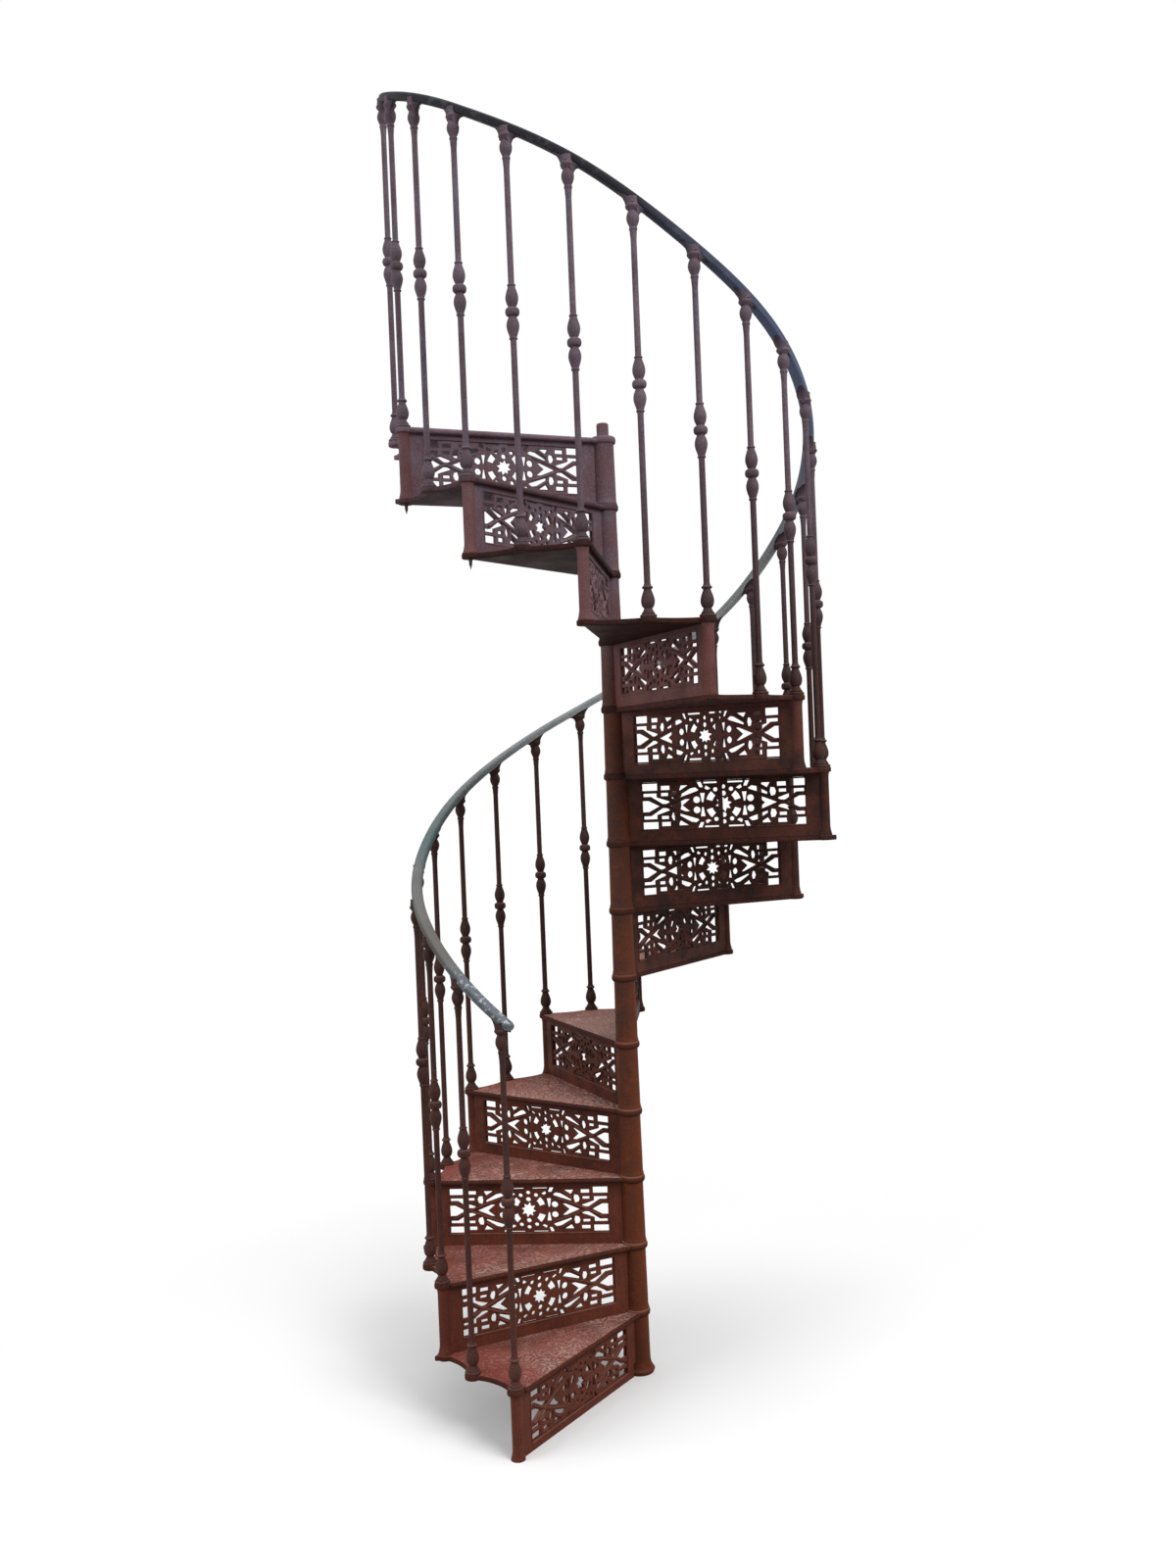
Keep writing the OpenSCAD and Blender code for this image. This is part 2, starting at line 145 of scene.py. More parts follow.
class StairColours(bpy.types.PropertyGroup):
    """Colours of the staircase's paints"""
    riser_paint: colour("Risers", display(98, 50, 37), "Red-brown paint of the risers")
    riser_dark: colour("Risers, dark", display(45, 27, 23), "Darker old paint of the risers")
    column_paint: colour("Column", display(93, 45, 23), "Red-brown paint of the column")
    column_dark: colour("Column, dark", display(62, 41, 36), "Darker old paint of the column")
    tread_paint: colour("Treads", display(154, 93, 81), "Worn paint on the treads' upper faces")
    tread_dark: colour("Treads, dark", display(110, 66, 57), "Darker patches of the upper faces")
    tread_rim: colour("Treads, rim", display(134, 66, 58), "Redder paint near the treads' outer edge")
    edge_paint: colour("Tread edges", display(78, 43, 34), "Paint of the treads' edges and undersides")
    edge_dark: colour("Tread edges, dark", display(53, 38, 37), "Darker old paint of edges and undersides")
    baluster_paint: colour("Balusters", display(77, 44, 37), "Brown paint of the balusters")
    baluster_dark: colour("Balusters, dark", display(54, 37, 35), "Darker old paint of the balusters")
    rail_paint: colour("Handrail", display(135, 139, 139), "Slate paint of the handrail")
    rail_dark: colour("Handrail, dark", display(100, 108, 116), "Darker old paint of the handrail")
    rail_low: colour("Handrail, lower", display(101, 97, 92), "Warmer paint of the handrail's lower part")
    rail_bare: colour("Handrail, bare", display(206, 208, 210), "Bare scratches at the handrail's lower end")
    rail_green: colour("Handrail, green", display(90, 118, 120), "Greenish paint of the rail's first bend")
    rail_slate: colour("Handrail, slate", display(74, 84, 108), "Bluish paint half way up the handrail")
    rail_top: colour("Handrail, upper", display(33, 32, 38), "Darker paint of the handrail's upper part")
    rust: colour("Rust", display(122, 56, 24), "Rust that shows through the paint")
    # A painted haze of bright light that greys and lightens the paint high up the stair
    dust: colour("Dust", display(178, 141, 132), "Dust that lies on upward faces")
    haze_and_upper_paint: colour("Haze and upper paint", display(98, 85, 96), "Painted haze of bright light high up the stair")


def sizes():
    """The sizes as they are set in the scene."""
    return bpy.context.scene.stair_sizes


def colours():
    """The colours as they are set in the scene."""
    return bpy.context.scene.stair_colours


# The stair's lines


def direction(s):
    """Angle of the place s steps up: the first riser's angle less a turn for each step after it."""
    z = sizes()
    return z.first_angle - z.turn * (np.asarray(s, float) - 1)


def level(s):
    """Height of the nosing line s steps up: a rise for each step, less what the first step lacks."""
    z = sizes()
    return s * z.rise - z.first_cut


# Departures of the handrail from its even climb at every step from -1 to 17, as shares of the greatest
WAVER_SHARES = np.array([0.1, 0.1, 0.12, 0.22, -0.08, 0, -0.24, -0.76, -1, -0.42, -0.12, 0, -0.08, 0.3,
                         0.14, -0.1, 0, 0, 0])
# Share of its climb that the handrail has lost at its upper end
RAIL_EASING = 0.4


def rail_line(s):
    """Height and slope angle of the handrail's middle s steps up: an even climb that grows less steep at its
    end by the share RAIL_EASING, plus cubic bends through the departures at the steps."""
    z = sizes()
    s = np.asarray(s, float)
    step_l = (z.post_circle - z.rail_inset) * z.turn
    last = STEPS + 0.5 + z.rail_tail / step_l
    span = z.rail_ease / step_l
    eased = np.maximum(0, s - (last - span))
    loss = RAIL_EASING * eased / span
    below = np.floor(s).astype(int)
    t = s - below
    a, b, c, d = (z.rail_waver * WAVER_SHARES[below + j] for j in range(4))
    second, third = 2 * a - 5 * b + 4 * c - d, 3 * (b - c) + d - a
    bend = b + t / 2 * (c - a + t * (second + t * third))
    rate = (c - a) / 2 + t * (second + t * 1.5 * third)
    return (z.rail_h + level(s - loss * eased / 2) + bend,
            np.arctan2(z.rise * (1 - loss) + rate, step_l))


def placed(points, angle, height=0.0, radius=0.0):
    """Points moved out along +X by radius, turned about +Z by angle and lifted by height."""
    c, s = math.cos(angle), math.sin(angle)
    x, y = points[..., 0] + radius, points[..., 1]
    return np.stack([c * x - s * y, s * x + c * y, points[..., 2] + height], -1)


# Surfaces

# Points closer than this are one
SAME_POINT = 1e-6


def grid_faces(rows, cols, ring):
    """Quads between the points of a grid whose columns close; ring also joins the last row to the first."""
    i = np.arange(rows if ring else rows - 1)[:, None]
    j = np.arange(cols)[None, :]
    i1, j1 = (i + 1) % rows, (j + 1) % cols
    corners = np.broadcast_arrays(i * cols + j, i * cols + j1, i1 * cols + j1, i1 * cols + j)
    return np.stack(corners, -1).reshape(-1, 4)


def tube(points, ring=False):
    """A grid of points as a closed surface: its columns close, and so do its rows, or a cap closes each end.
    Its faces are arrays of corner numbers, one for the quads and one for each cap."""
    rows, cols = points.shape[:2]
    faces = [grid_faces(rows, cols, ring)]
    if not ring:
        numbers = np.arange(rows * cols).reshape(rows, cols)
        faces += [numbers[:1, ::-1], numbers[-1:]]
    return points.reshape(-1, 3), faces


def round_angles(sides):
    """Angles of the corners of a circle with so many sides."""
    return np.arange(sides) * (2 * np.pi / sides)


def lathe(profile, sides):
    """A profile of [radius, height] rows turned about +Z: (r cos a, r sin a, z). A row that repeats the one
    before it, where two members meet, is left out."""
    apart = np.linalg.norm(np.diff(profile, axis=0), axis=1) > SAME_POINT
    profile = profile[np.concatenate([[True], apart])]
    a = round_angles(sides)
    r, z = profile[:, :1], profile[:, 1:]
    return np.stack([r * np.cos(a), r * np.sin(a), np.broadcast_to(z, (len(profile), sides))], -1)


def member(z0, z1, r0, r1, swell=0.0, at=0.5, n=7):
    """One turned member from z0 to z1: radius eased from r0 to r1 by t^2 (3 - 2t), plus a swelling
    sin(pi t^p) that peaks at the share at."""
    t = np.linspace(0, 1, n)
    power = math.log(0.5) / math.log(at)
    r = r0 + (r1 - r0) * t * t * (3 - 2 * t) + swell * np.sin(np.pi * t ** power)
    return np.stack([r, z0 + (z1 - z0) * t], 1)


def cove(z0, z1, r0, r1, n=8):
    """A hollow flare: radius r1 + (r0 - r1)(1 - t)^2 on the way up from z0 to z1."""
    t = np.linspace(0, 1, n)
    return np.stack([r1 + (r0 - r1) * (1 - t) ** 2, z0 + (z1 - z0) * t], 1)


def make_piece(name, parts, material, slot, *nodes, crease=40):
    """One object at the origin from closed surfaces, with outward faces, edges sharper than crease degrees, a
    material, and the nodes that it stands for."""
    points, faces, start = [], [], 0
    for p, arrays in parts:
        points.append(p)
        for array in arrays:
            faces += (array + start).tolist()
        start += len(p)
    mesh = bpy.data.meshes.new(name)
    mesh.from_pydata(np.concatenate(points).tolist(), [], faces)
    bm = bmesh.new()
    bm.from_mesh(mesh)
    bmesh.ops.recalc_face_normals(bm, faces=bm.faces)
    bm.to_mesh(mesh)
    bm.free()
    mesh.shade_smooth()
    mesh.set_sharp_from_angle(angle=math.radians(crease))
    mesh.materials.append(material)
    piece = bpy.data.objects.new(name, mesh)
    bpy.context.scene.collection.objects.link(piece)
    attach(piece, "root")
    if nodes:
        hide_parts(*nodes)
    return piece


def set_values(piece, name, values):
    """A value for each point of a piece, which a material reads by its name."""
    attribute = piece.data.attributes.new(name, "FLOAT", "POINT")
    attribute.data.foreach_set("value", values)


# Materials


def add(tree, kind, sockets=None, **settings):
    """A node of a shader tree; sockets maps input names or numbers to a value or to another node's output."""
    node = tree.nodes.new(kind)
    for key, value in settings.items():
        setattr(node, key, value)
    for key, value in (sockets or {}).items():
        if isinstance(value, bpy.types.NodeSocket):
            tree.links.new(value, node.inputs[key])
        else:
            node.inputs[key].default_value = value
    return node


def mixed(tree, share, first, second):
    """Colour first blended with second by a share."""
    return add(tree, "ShaderNodeMix", {0: share, 6: first, 7: second}, data_type="RGBA").outputs[2]


def ranged(tree, value, low, high, to_low=0.0, to_high=1.0):
    """A value carried from one range to another and held at its ends."""
    return add(tree, "ShaderNodeMapRange", {0: value, 1: low, 2: high, 3: to_low, 4: to_high}).outputs[0]


def maths(tree, operation, first, second):
    """Two values joined by an operation of the Math node."""
    return add(tree, "ShaderNodeMath", {0: first, 1: second}, operation=operation).outputs[0]


def times(tree, first, *others):
    """Product of several values."""
    for value in others:
        first = maths(tree, "MULTIPLY", first, value)
    return first


def band(tree, value, rise, fall, share):
    """A mask that grows to a share over the range rise and goes back to nothing over the range fall."""
    return times(tree, ranged(tree, value, *rise, 0.0, share), ranged(tree, value, *fall, 1.0, 0.0))


def shaded(tree, paint, factor):
    """A colour made darker or paler by a factor."""
    return add(tree, "ShaderNodeVectorMath", {0: paint, 3: factor}, operation="SCALE").outputs[0]


def noise(tree, vector, scale, detail, rough):
    """Smooth noise with so many cells to a metre, so many octaves and a roughness."""
    return add(tree, "ShaderNodeTexNoise",
               {"Vector": vector, "Scale": scale, "Detail": detail, "Roughness": rough}).outputs[0]


def object_place(tree):
    """Place on a piece, which is its place in the stair's frame."""
    return add(tree, "ShaderNodeTexCoord").outputs["Object"]


def height_of(tree, place):
    """Height of a place above the floor."""
    return add(tree, "ShaderNodeSeparateXYZ", {0: place}).outputs[2]


def from_axis(tree, place):
    """Distance of a place from the column's axis."""
    flat = add(tree, "ShaderNodeVectorMath", {0: place, 1: (1.0, 1.0, 0.0)}, operation="MULTIPLY").outputs[0]
    return add(tree, "ShaderNodeVectorMath", {0: flat}, operation="LENGTH").outputs["Value"]


def facing(tree):
    """The three parts of the direction that a surface faces."""
    normal = add(tree, "ShaderNodeNewGeometry").outputs["Normal"]
    return add(tree, "ShaderNodeSeparateXYZ", {0: normal}).outputs


# Noises of the old paint: cells to a metre, octaves and roughness
BLOTCHES, PATCHES, SPOTS = (13.0, 5.0, 0.6), (19.0, 5.0, 0.65), (30.0, 8.0, 0.66)
PITS, GRAIN = (75.0, 4.0, 0.55), (230.0, 3.0, 0.6)
STREAKS, STREAK_CELLS = (1.0, 4.0, 0.6), (52.0, 52.0, 3.0)
# Range of a noise from hollow to crest, what the blotches add to the old paint and leave of the upper colour
HOLLOW_TO_CREST = (0.36, 0.64)
BLOTCH_AGE, BLOTCH_FADE = (0.32, -0.18), (0.62, 1.0)
# Heights over which the paint grows old, and the height over which old paint clears at the upper colour's
# start
AGEING, CLEARING = (0.05, 1.35), 0.3
# Upward part of the direction in which upright and lying faces look
UPRIGHT, LYING = (0.3, 0.75), (0.45, 0.95)
# Shade of the grain, roughness of the blotches, and what rust and dust add to it
GRAIN_SHADE, PAINT_ROUGH, RUST_ROUGH, DUST_ROUGH = (0.70, 1.30), (0.70, 0.55), 0.2, 0.25
# Shares of grain, pits and rust in the relief, and the relief's depth
GRAIN_RELIEF, PIT_RELIEF, RUST_RELIEF, RELIEF_DEPTH = 0.35, 0.65, 0.3, 0.0012


def old_paint_group():
    """Old paint on cast iron: blotches, streaks down upright faces, rust, and dust on upward faces. The paint
    grows darker on the way up, and high up turns to an upper colour, which is a painted haze of bright light
    on most pieces and the handrail's own darker paint on the handrail."""
    name = "Old paint"
    if name in bpy.data.node_groups:
        return bpy.data.node_groups[name]
    tree = bpy.data.node_groups.new(name, "ShaderNodeTree")
    for label in ("Paint", "Dark", "Rust", "Dust", "Haze and upper paint"):
        tree.interface.new_socket(label, in_out="INPUT", socket_type="NodeSocketColor")
    for label in ("Rust share", "Dust share", "Fade share", "Streak share", "Dark share", "Dark above",
                  "Fade from", "Fade to"):
        tree.interface.new_socket(label, in_out="INPUT", socket_type="NodeSocketFloat")
    tree.interface.new_socket("Color", in_out="OUTPUT", socket_type="NodeSocketColor")
    for label in ("Roughness", "Height"):
        tree.interface.new_socket(label, in_out="OUTPUT", socket_type="NodeSocketFloat")
    given = tree.nodes.new("NodeGroupInput").outputs
    place = object_place(tree)
    height = height_of(tree, place)
    upward = facing(tree)[2]

    blotch = noise(tree, place, *BLOTCHES)
    grain = noise(tree, place, *GRAIN)
    clear = maths(tree, "ADD", given["Fade from"], CLEARING)
    old = times(tree, ranged(tree, height, *AGEING), given["Dark share"],
                ranged(tree, height, given["Fade from"], clear, 1.0, given["Dark above"]))
    old = maths(tree, "ADD", old, ranged(tree, blotch, *HOLLOW_TO_CREST, *BLOTCH_AGE))
    tall = add(tree, "ShaderNodeMapping", {0: place, 3: STREAK_CELLS}).outputs[0]
    upright = ranged(tree, maths(tree, "ABSOLUTE", upward, 0.0), *UPRIGHT, 1.0, 0.0)
    streak = times(tree, ranged(tree, noise(tree, tall, *STREAKS), 0.38, 0.66), upright,
                   given["Streak share"])
    base = mixed(tree, maths(tree, "MAXIMUM", old, streak), given["Paint"], given["Dark"])
    # High up the colour turns to the upper colour: painted haze of bright light, on the handrail its darker
    # paint
    fade = add(tree, "ShaderNodeMapRange", {0: height, 1: given["Fade from"], 2: given["Fade to"]},
               interpolation_type="SMOOTHSTEP").outputs[0]
    fade = times(tree, fade, ranged(tree, blotch, *HOLLOW_TO_CREST, *BLOTCH_FADE))
    base = mixed(tree, times(tree, fade, given["Fade share"]), base, given["Haze and upper paint"])
    rust = times(tree, ranged(tree, noise(tree, place, *SPOTS), 0.50, 0.66), given["Rust share"],
                 maths(tree, "SUBTRACT", 1.0, fade))
    base = mixed(tree, rust, base, given["Rust"])
    dust = times(tree, ranged(tree, upward, *LYING),
                 ranged(tree, noise(tree, place, *PATCHES), 0.32, 0.68, 0.25, 1.0), given["Dust share"])
    base = mixed(tree, dust, base, given["Dust"])

    rough = ranged(tree, blotch, 0.3, 0.7, *PAINT_ROUGH)
    rough = maths(tree, "ADD", rough, times(tree, rust, RUST_ROUGH))
    rough = maths(tree, "ADD", rough, times(tree, dust, DUST_ROUGH))
    relief = maths(tree, "ADD", times(tree, grain, GRAIN_RELIEF),
                   times(tree, noise(tree, place, *PITS), PIT_RELIEF))
    relief = maths(tree, "ADD", relief, times(tree, rust, RUST_RELIEF))
    out = tree.nodes.new("NodeGroupOutput").inputs
    tree.links.new(shaded(tree, base, ranged(tree, grain, 0.3, 0.7, *GRAIN_SHADE)), out["Color"])
    tree.links.new(rough, out["Roughness"])
    tree.links.new(relief, out["Height"])
    return tree


def painted(name, paint, dark, rust=0.3, dust=0.3, fade=0.9, streak=0.4, darker=0.7, above=0.8,
            haze_and_upper_paint=None, span=(1.78, 2.30), bump=0.5, sheen=0.12):
    """Material of old paint on cast iron; returns the material, its tree, its paint node and its shader."""
    material = bpy.data.materials.new(name)
    material.use_nodes = True
    tree = material.node_tree
    shader = tree.nodes["Principled BSDF"]
    shader.inputs["Specular IOR Level"].default_value = sheen
    c = colours()
    coat = add(tree, "ShaderNodeGroup", node_tree=old_paint_group())
    for key, value in {"Paint": paint, "Dark": dark, "Rust": c.rust, "Dust": c.dust,
                       "Haze and upper paint": haze_and_upper_paint or c.haze_and_upper_paint, "Rust share": rust, "Dust share": dust,
                       "Fade share": fade, "Streak share": streak, "Dark share": darker, "Dark above": above,
                       "Fade from": span[0], "Fade to": span[1]}.items():
        coat.inputs[key].default_value = value
    relief = add(tree, "ShaderNodeBump",
                 {"Strength": bump, "Distance": RELIEF_DEPTH, "Height": coat.outputs["Height"]})
    tree.links.new(coat.outputs["Color"], shader.inputs["Base Color"])
    tree.links.new(coat.outputs["Roughness"], shader.inputs["Roughness"])
    tree.links.new(relief.outputs[0], shader.inputs["Normal"])
    return material, tree, coat, shader


# Noises on the treads: cells to a metre, octaves and roughness
CURLS, WORN, SPECKS, TREAD_PATCHES = (14.0, 2.5, 0.45), (14.0, 4.0, 0.6), (150.0, 3.0, 0.6), (8.0, 4.0, 0.6)
# Lines to the whole range of the curling noise, and their depth
CURL_LINES, CURL_DEPTH = 92.0, 0.003
# Distance in front of the riser over which feet wear a tread, and distance from the axis of its redder rim
FOOT_WEAR, REDDER_RIM = (-0.11, 0.0), (0.40, 0.60)
# Heights over which painted sheen on the lines' crests, painted sheen in the dust's colour and painted
# haze set in on the upper faces
CREST_SHEEN_UP, SHEEN_UP, HAZE_UP = (0.50, 0.95), (0.75, 0.95), (1.2, 2.4)
# Heights over which painted shade on edges and undersides sets in and ends, and over which painted haze
# makes them paler at the top
EDGE_SHADE_FROM, EDGE_SHADE_TO, EDGE_HAZE_TOP = (1.92, 2.06), (2.28, 2.44), (2.46, 2.64)
# Distance from the axis at which the collars' own paint ends, and heights over which the treads' replaces it
COLLAR_EDGE, COLLAR_UP = (0.0362, 0.0368), (0.9, 1.7)


def tread_finish():
    """Dusty paint with fine curling anti-slip lines on the upper face, darker paint on edges and underside,
    and the column's paint on the low collars. Higher up the upper faces take painted sheen and haze, edges
    and undersides painted shade and haze, and the collars a painted highlight and shade."""
    c = colours()
    material, tree, coat, shader = painted("tread_paint", c.edge_paint, c.edge_dark, rust=0.2, dust=0.0,
                                           fade=0.85, streak=0.2, bump=0.4, span=(2.20, 2.70), sheen=0.02)
    place = object_place(tree)
    height, away, upward = height_of(tree, place), from_axis(tree, place), facing(tree)[2]
    upper = ranged(tree, upward, 0.90, 0.985)
    # Lines of equal height of a smooth noise, close together, curl like those of the casting
    line = maths(tree, "SINE", times(tree, noise(tree, place, *CURLS), CURL_LINES), 0.0)
    ribs = times(tree, ranged(tree, line, -0.6, 0.7), upper)
    relief = add(tree, "ShaderNodeBump", {"Strength": 0.9, "Distance": CURL_DEPTH, "Height": ribs,
                                          "Normal": shader.inputs["Normal"].links[0].from_socket})
    patch = noise(tree, place, *TREAD_PATCHES)
    top = mixed(tree, ranged(tree, patch, *HOLLOW_TO_CREST), c.tread_dark, c.tread_paint)
    # Feet wear the front of a tread, and dust lies on the lines' crests there; on higher treads a painted
    # sheen lightens the crests too
    front = add(tree, "ShaderNodeAttribute", attribute_name="front").outputs["Fac"]
    wear_and_sheen = ranged(tree, noise(tree, place, *WORN), 0.36, 0.66, 0.05, 0.75)
    # Painted sheen: the crests grow lighter on higher treads
    wear_and_sheen = maths(tree, "ADD", wear_and_sheen, ranged(tree, height, *CREST_SHEEN_UP))
    wear_and_sheen = maths(tree, "ADD", wear_and_sheen, ranged(tree, front, *FOOT_WEAR, 0.0, 0.40))
    speck = ranged(tree, noise(tree, place, *SPECKS), 0.42, 0.62)
    crest = maths(tree, "MAXIMUM", ranged(tree, line, -0.5, 1.2), speck)
    top = mixed(tree, times(tree, wear_and_sheen, crest), top, c.dust)
    top = mixed(tree, ranged(tree, line, -1.0, 0.2, 0.55, 0.0), top, c.tread_dark)
    # Painted sheen: higher upper faces turn partly to the dust's colour
    top = mixed(tree, ranged(tree, height, *SHEEN_UP, 0.0, 0.5), top, c.dust)
    # Painted haze of bright light on the upper faces high up
    top = mixed(tree, ranged(tree, height, *HAZE_UP, 0.0, 0.65), top, c.haze_and_upper_paint)
    rim = maths(tree, "ADD", away, ranged(tree, patch, 0.3, 0.7, -0.08, 0.08))
    top = mixed(tree, ranged(tree, rim, *REDDER_RIM, 0.0, 0.75), top, c.tread_rim)
    # Painted shade darkens edges and undersides of the upper treads; painted haze makes the top tread's paler
    edge_shade_and_haze = times(tree, ranged(tree, height, *EDGE_SHADE_FROM, 1.0, 0.74), ranged(tree, height, *EDGE_SHADE_TO, 1.0, 1.35),
                 ranged(tree, height, *EDGE_HAZE_TOP, 1.0, 1.55))
    paint = mixed(tree, upper, shaded(tree, coat.outputs["Color"], edge_shade_and_haze), top)
    # The collars have dust and a painted highlight on the upper half and painted shade on the lower half
    collar = mixed(tree, ranged(tree, upward, -0.6, 0.4), c.edge_dark, c.column_paint)
    collar = mixed(tree, ranged(tree, upward, 0.1, 0.8, 0.0, 0.35), collar, c.dust)
    ring = times(tree, ranged(tree, away, *COLLAR_EDGE, 1.0, 0.0), ranged(tree, height, *COLLAR_UP, 1.0, 0.0))
    tree.links.new(mixed(tree, ring, paint, collar), shader.inputs["Base Color"])
    tree.links.new(relief.outputs[0], shader.inputs["Normal"])
    return material


# Column

SLEEVE_SIDES, FOOT_SIDES, ROD_SIDES = 48, 56, 32
# A sleeve's flared lower end: height and widening; then its narrowing upwards and its upper lip
FLARE_H, FLARE_OUT, SLEEVE_TAPER, LIP_H, LIP_IN = 0.012, 0.0022, 0.0012, 0.004, 0.0004
# How far the surface of sleeves and posts lies outside their solids
SKIN = 0.0002
# The foot: bulge of its rim, how much higher its hollow ends, and its narrowing up to the first tread
RIM_BULGE, FOOT_EASE, FOOT_TAPER = 0.0034, 0.006, 0.0008
# Heights over which the painted light on the side facing +X ends upwards and the darkening at the foot
# ends, and the noise of that painted light
LIT_SIDE_ENDS, FOOT_DARKENING, LIT_SIDE_NOISE = (0.9, 1.9), (0.05, 0.35), (16.0, 4.0, 0.55)


def sleeve_profile(low, high):
    """A sleeve from low to high: a slight cone with a small flare at its lower end."""
    r = sizes().sleeve_r
    return np.concatenate([
        member(low, low + FLARE_H, r + FLARE_OUT, r + SKIN),
        member(low + FLARE_H, high - LIP_H, r + SKIN, r - SLEEVE_TAPER, n=5),
        member(high - LIP_H, high, r - SLEEVE_TAPER, r - LIP_IN, n=3)])


def foot_profile():
    """The column's foot: a bulging rim, a hollow flare and a straight stretch up to the first tread."""
    z = sizes()
    rim = z.foot_r - RIM_BULGE
    return np.concatenate([
        member(0.0, z.foot_rim, rim, rim, RIM_BULGE, 0.6, n=10),
        cove(z.foot_rim, z.foot_h + FOOT_EASE, rim, z.sleeve_r + SKIN, n=12),
        [[z.sleeve_r - FOOT_TAPER, level(1) - z.tread_t]]])


def rod_profile():
    """The rod from the floor to its end above the top tread, with a quarter-round edge."""
    z = sizes()
    top = level(STEPS) + z.pole_end
    a = np.linspace(0, np.pi / 2, 7)
    edge = np.stack([z.pole_r - z.pole_bevel * (1 - np.cos(a)), top - z.pole_bevel * (1 - np.sin(a))], 1)
    return np.concatenate([[[z.pole_r, 0.0]], edge])


def column_finish():
    """Streaked paint with painted light in rust orange low down on the side facing +X, and darker towards the
    floor.
    """
    c = colours()
    material, tree, coat, shader = painted("column_paint", c.column_paint, c.column_dark, streak=0.5,
                                           above=0.3)
    place = object_place(tree)
    height = height_of(tree, place)
    # Painted light: faces turned to +X take rust orange low down, as if lit from that side
    side = times(tree, ranged(tree, facing(tree)[0], 0.0, 0.9, 0.0, 0.5),
                 ranged(tree, height, *LIT_SIDE_ENDS, 1.0, 0.2),
                 ranged(tree, noise(tree, place, *LIT_SIDE_NOISE), 0.35, 0.60, 0.4, 1.0))
    paint = mixed(tree, side, coat.outputs["Color"], c.rust)
    # Darker towards the floor
    paint = shaded(tree, paint, ranged(tree, height, *FOOT_DARKENING, 0.70, 1.0))
    tree.links.new(paint, shader.inputs["Base Color"])
    return material


class STAIR_OT_column(bpy.types.Operator):
    """Turned sleeves of the column, its flared foot and the rod's rounded end"""
    bl_idname = "stair.column"
    bl_label = "Column"

    def execute(self, context):
        z, finish = sizes(), column_finish()
        sleeves = [tube(lathe(foot_profile(), FOOT_SIDES))]
        for k in range(2, STEPS + 1):
            profile = sleeve_profile(level(k - 1) + z.collar_lift, level(k) - z.tread_t)
            sleeves.append(tube(lathe(profile, SLEEVE_SIDES)))
        make_piece("column_shell", sleeves, finish, "column_iron", "column_sleeves")
        make_piece("column_rod", [tube(lathe(rod_profile(), ROD_SIDES))], finish, "column_iron", "newel_pole")
        return {"FINISHED"}


# Treads

# Radius of a plate's rounded edge, bulge of the collar, and room between the collar and the rod
PLATE_EDGE, COLLAR_BULGE, ROD_ROOM = 0.0035, 0.0045, 0.0006
# Where a plate starts, as a share of the collar's radius, and the turn of the nosing roll's domed end
PLATE_START, ROLL_DOME = 0.6, 0.47 * math.pi
ROLL_SIDES, ROLL_ROWS, COLLAR_SIDES = 16, 8, 48


def arc(centre, radius, start, end, n):
    """Points of a circle from the angle start to the angle end."""
    a = np.linspace(start, end, n)
    return centre + radius * np.stack([np.cos(a), np.sin(a)], 1)


def meeting(c1, r1, c2, r2, side):
    """Point where two circles meet, on the left (1) or right (-1) of the line between their middles."""
    line = c2 - c1
    d = np.hypot(*line)
    along = (d * d + r1 * r1 - r2 * r2) / (2 * d)
    across = math.sqrt(r1 * r1 - along * along)
    u = line / d
    return c1 + along * u + side * across * np.array([-u[1], u[0]])


def angle_of(point, centre):
    """Direction of a point from a centre."""
    return math.atan2(*(point - centre)[::-1])


def ray(angle):
    """Unit step in a direction: (cos a, sin a)."""
    return np.array([math.cos(angle), math.sin(angle)])


def tread_outline():
    """Outline of a tread with its riser along +X, counter-clockwise, as arcs: a lobe under each baluster,
    hollows between the lobes and a pointed back corner."""
    z = sizes()
    half = z.turn / 2
    hollow_r = ((z.scallop_l / 2) ** 2 + z.scallop_depth ** 2) / (2 * z.scallop_depth)
    hollow_at = z.post_circle * math.cos(half / 2) + hollow_r - z.scallop_depth
    lobes = [z.post_circle * ray(-j * half) for j in range(3)]
    hollows = [hollow_at * ray(-(j + 0.5) * half) for j in range(2)]
    eye = z.collar_r * PLATE_START
    line = [np.array([[eye, z.nosing]])]
    start = math.pi - math.asin(z.nosing / z.lobe_r)
    for j in range(2):
        first = meeting(lobes[j], z.lobe_r, hollows[j], hollow_r, -1)
        second = meeting(lobes[j + 1], z.lobe_r, hollows[j], hollow_r, 1)
        line.append(arc(lobes[j], z.lobe_r, start, angle_of(first, lobes[j]), 16))
        a, b = np.unwrap([angle_of(first, hollows[j]), angle_of(second, hollows[j])])
        line.append(arc(hollows[j], hollow_r, a, b, 18)[1:-1])
        start = angle_of(second, lobes[j + 1])
    # The point's flanks leave the lobe where the chord from its side to the point meets it again
    share = 2 * z.lobe_r ** 2 / (z.lobe_r ** 2 + z.point_reach ** 2)
    flank = math.atan2(z.lobe_r * (1 - share), z.point_reach * share)
    back = -z.turn
    line.append(arc(lobes[2], z.lobe_r, start, back + flank, 8))
    line.append((lobes[2] + z.point_reach * ray(back))[None])
    rear = -math.pi + math.asin(z.frame_t / 2 / z.lobe_r)
    line.append(arc(lobes[2], z.lobe_r, back - flank, back + rear, 14))
    line.append((eye * ray(back) + z.frame_t / 2 * ray(back - math.pi / 2))[None])
    return np.concatenate(line)[::-1]


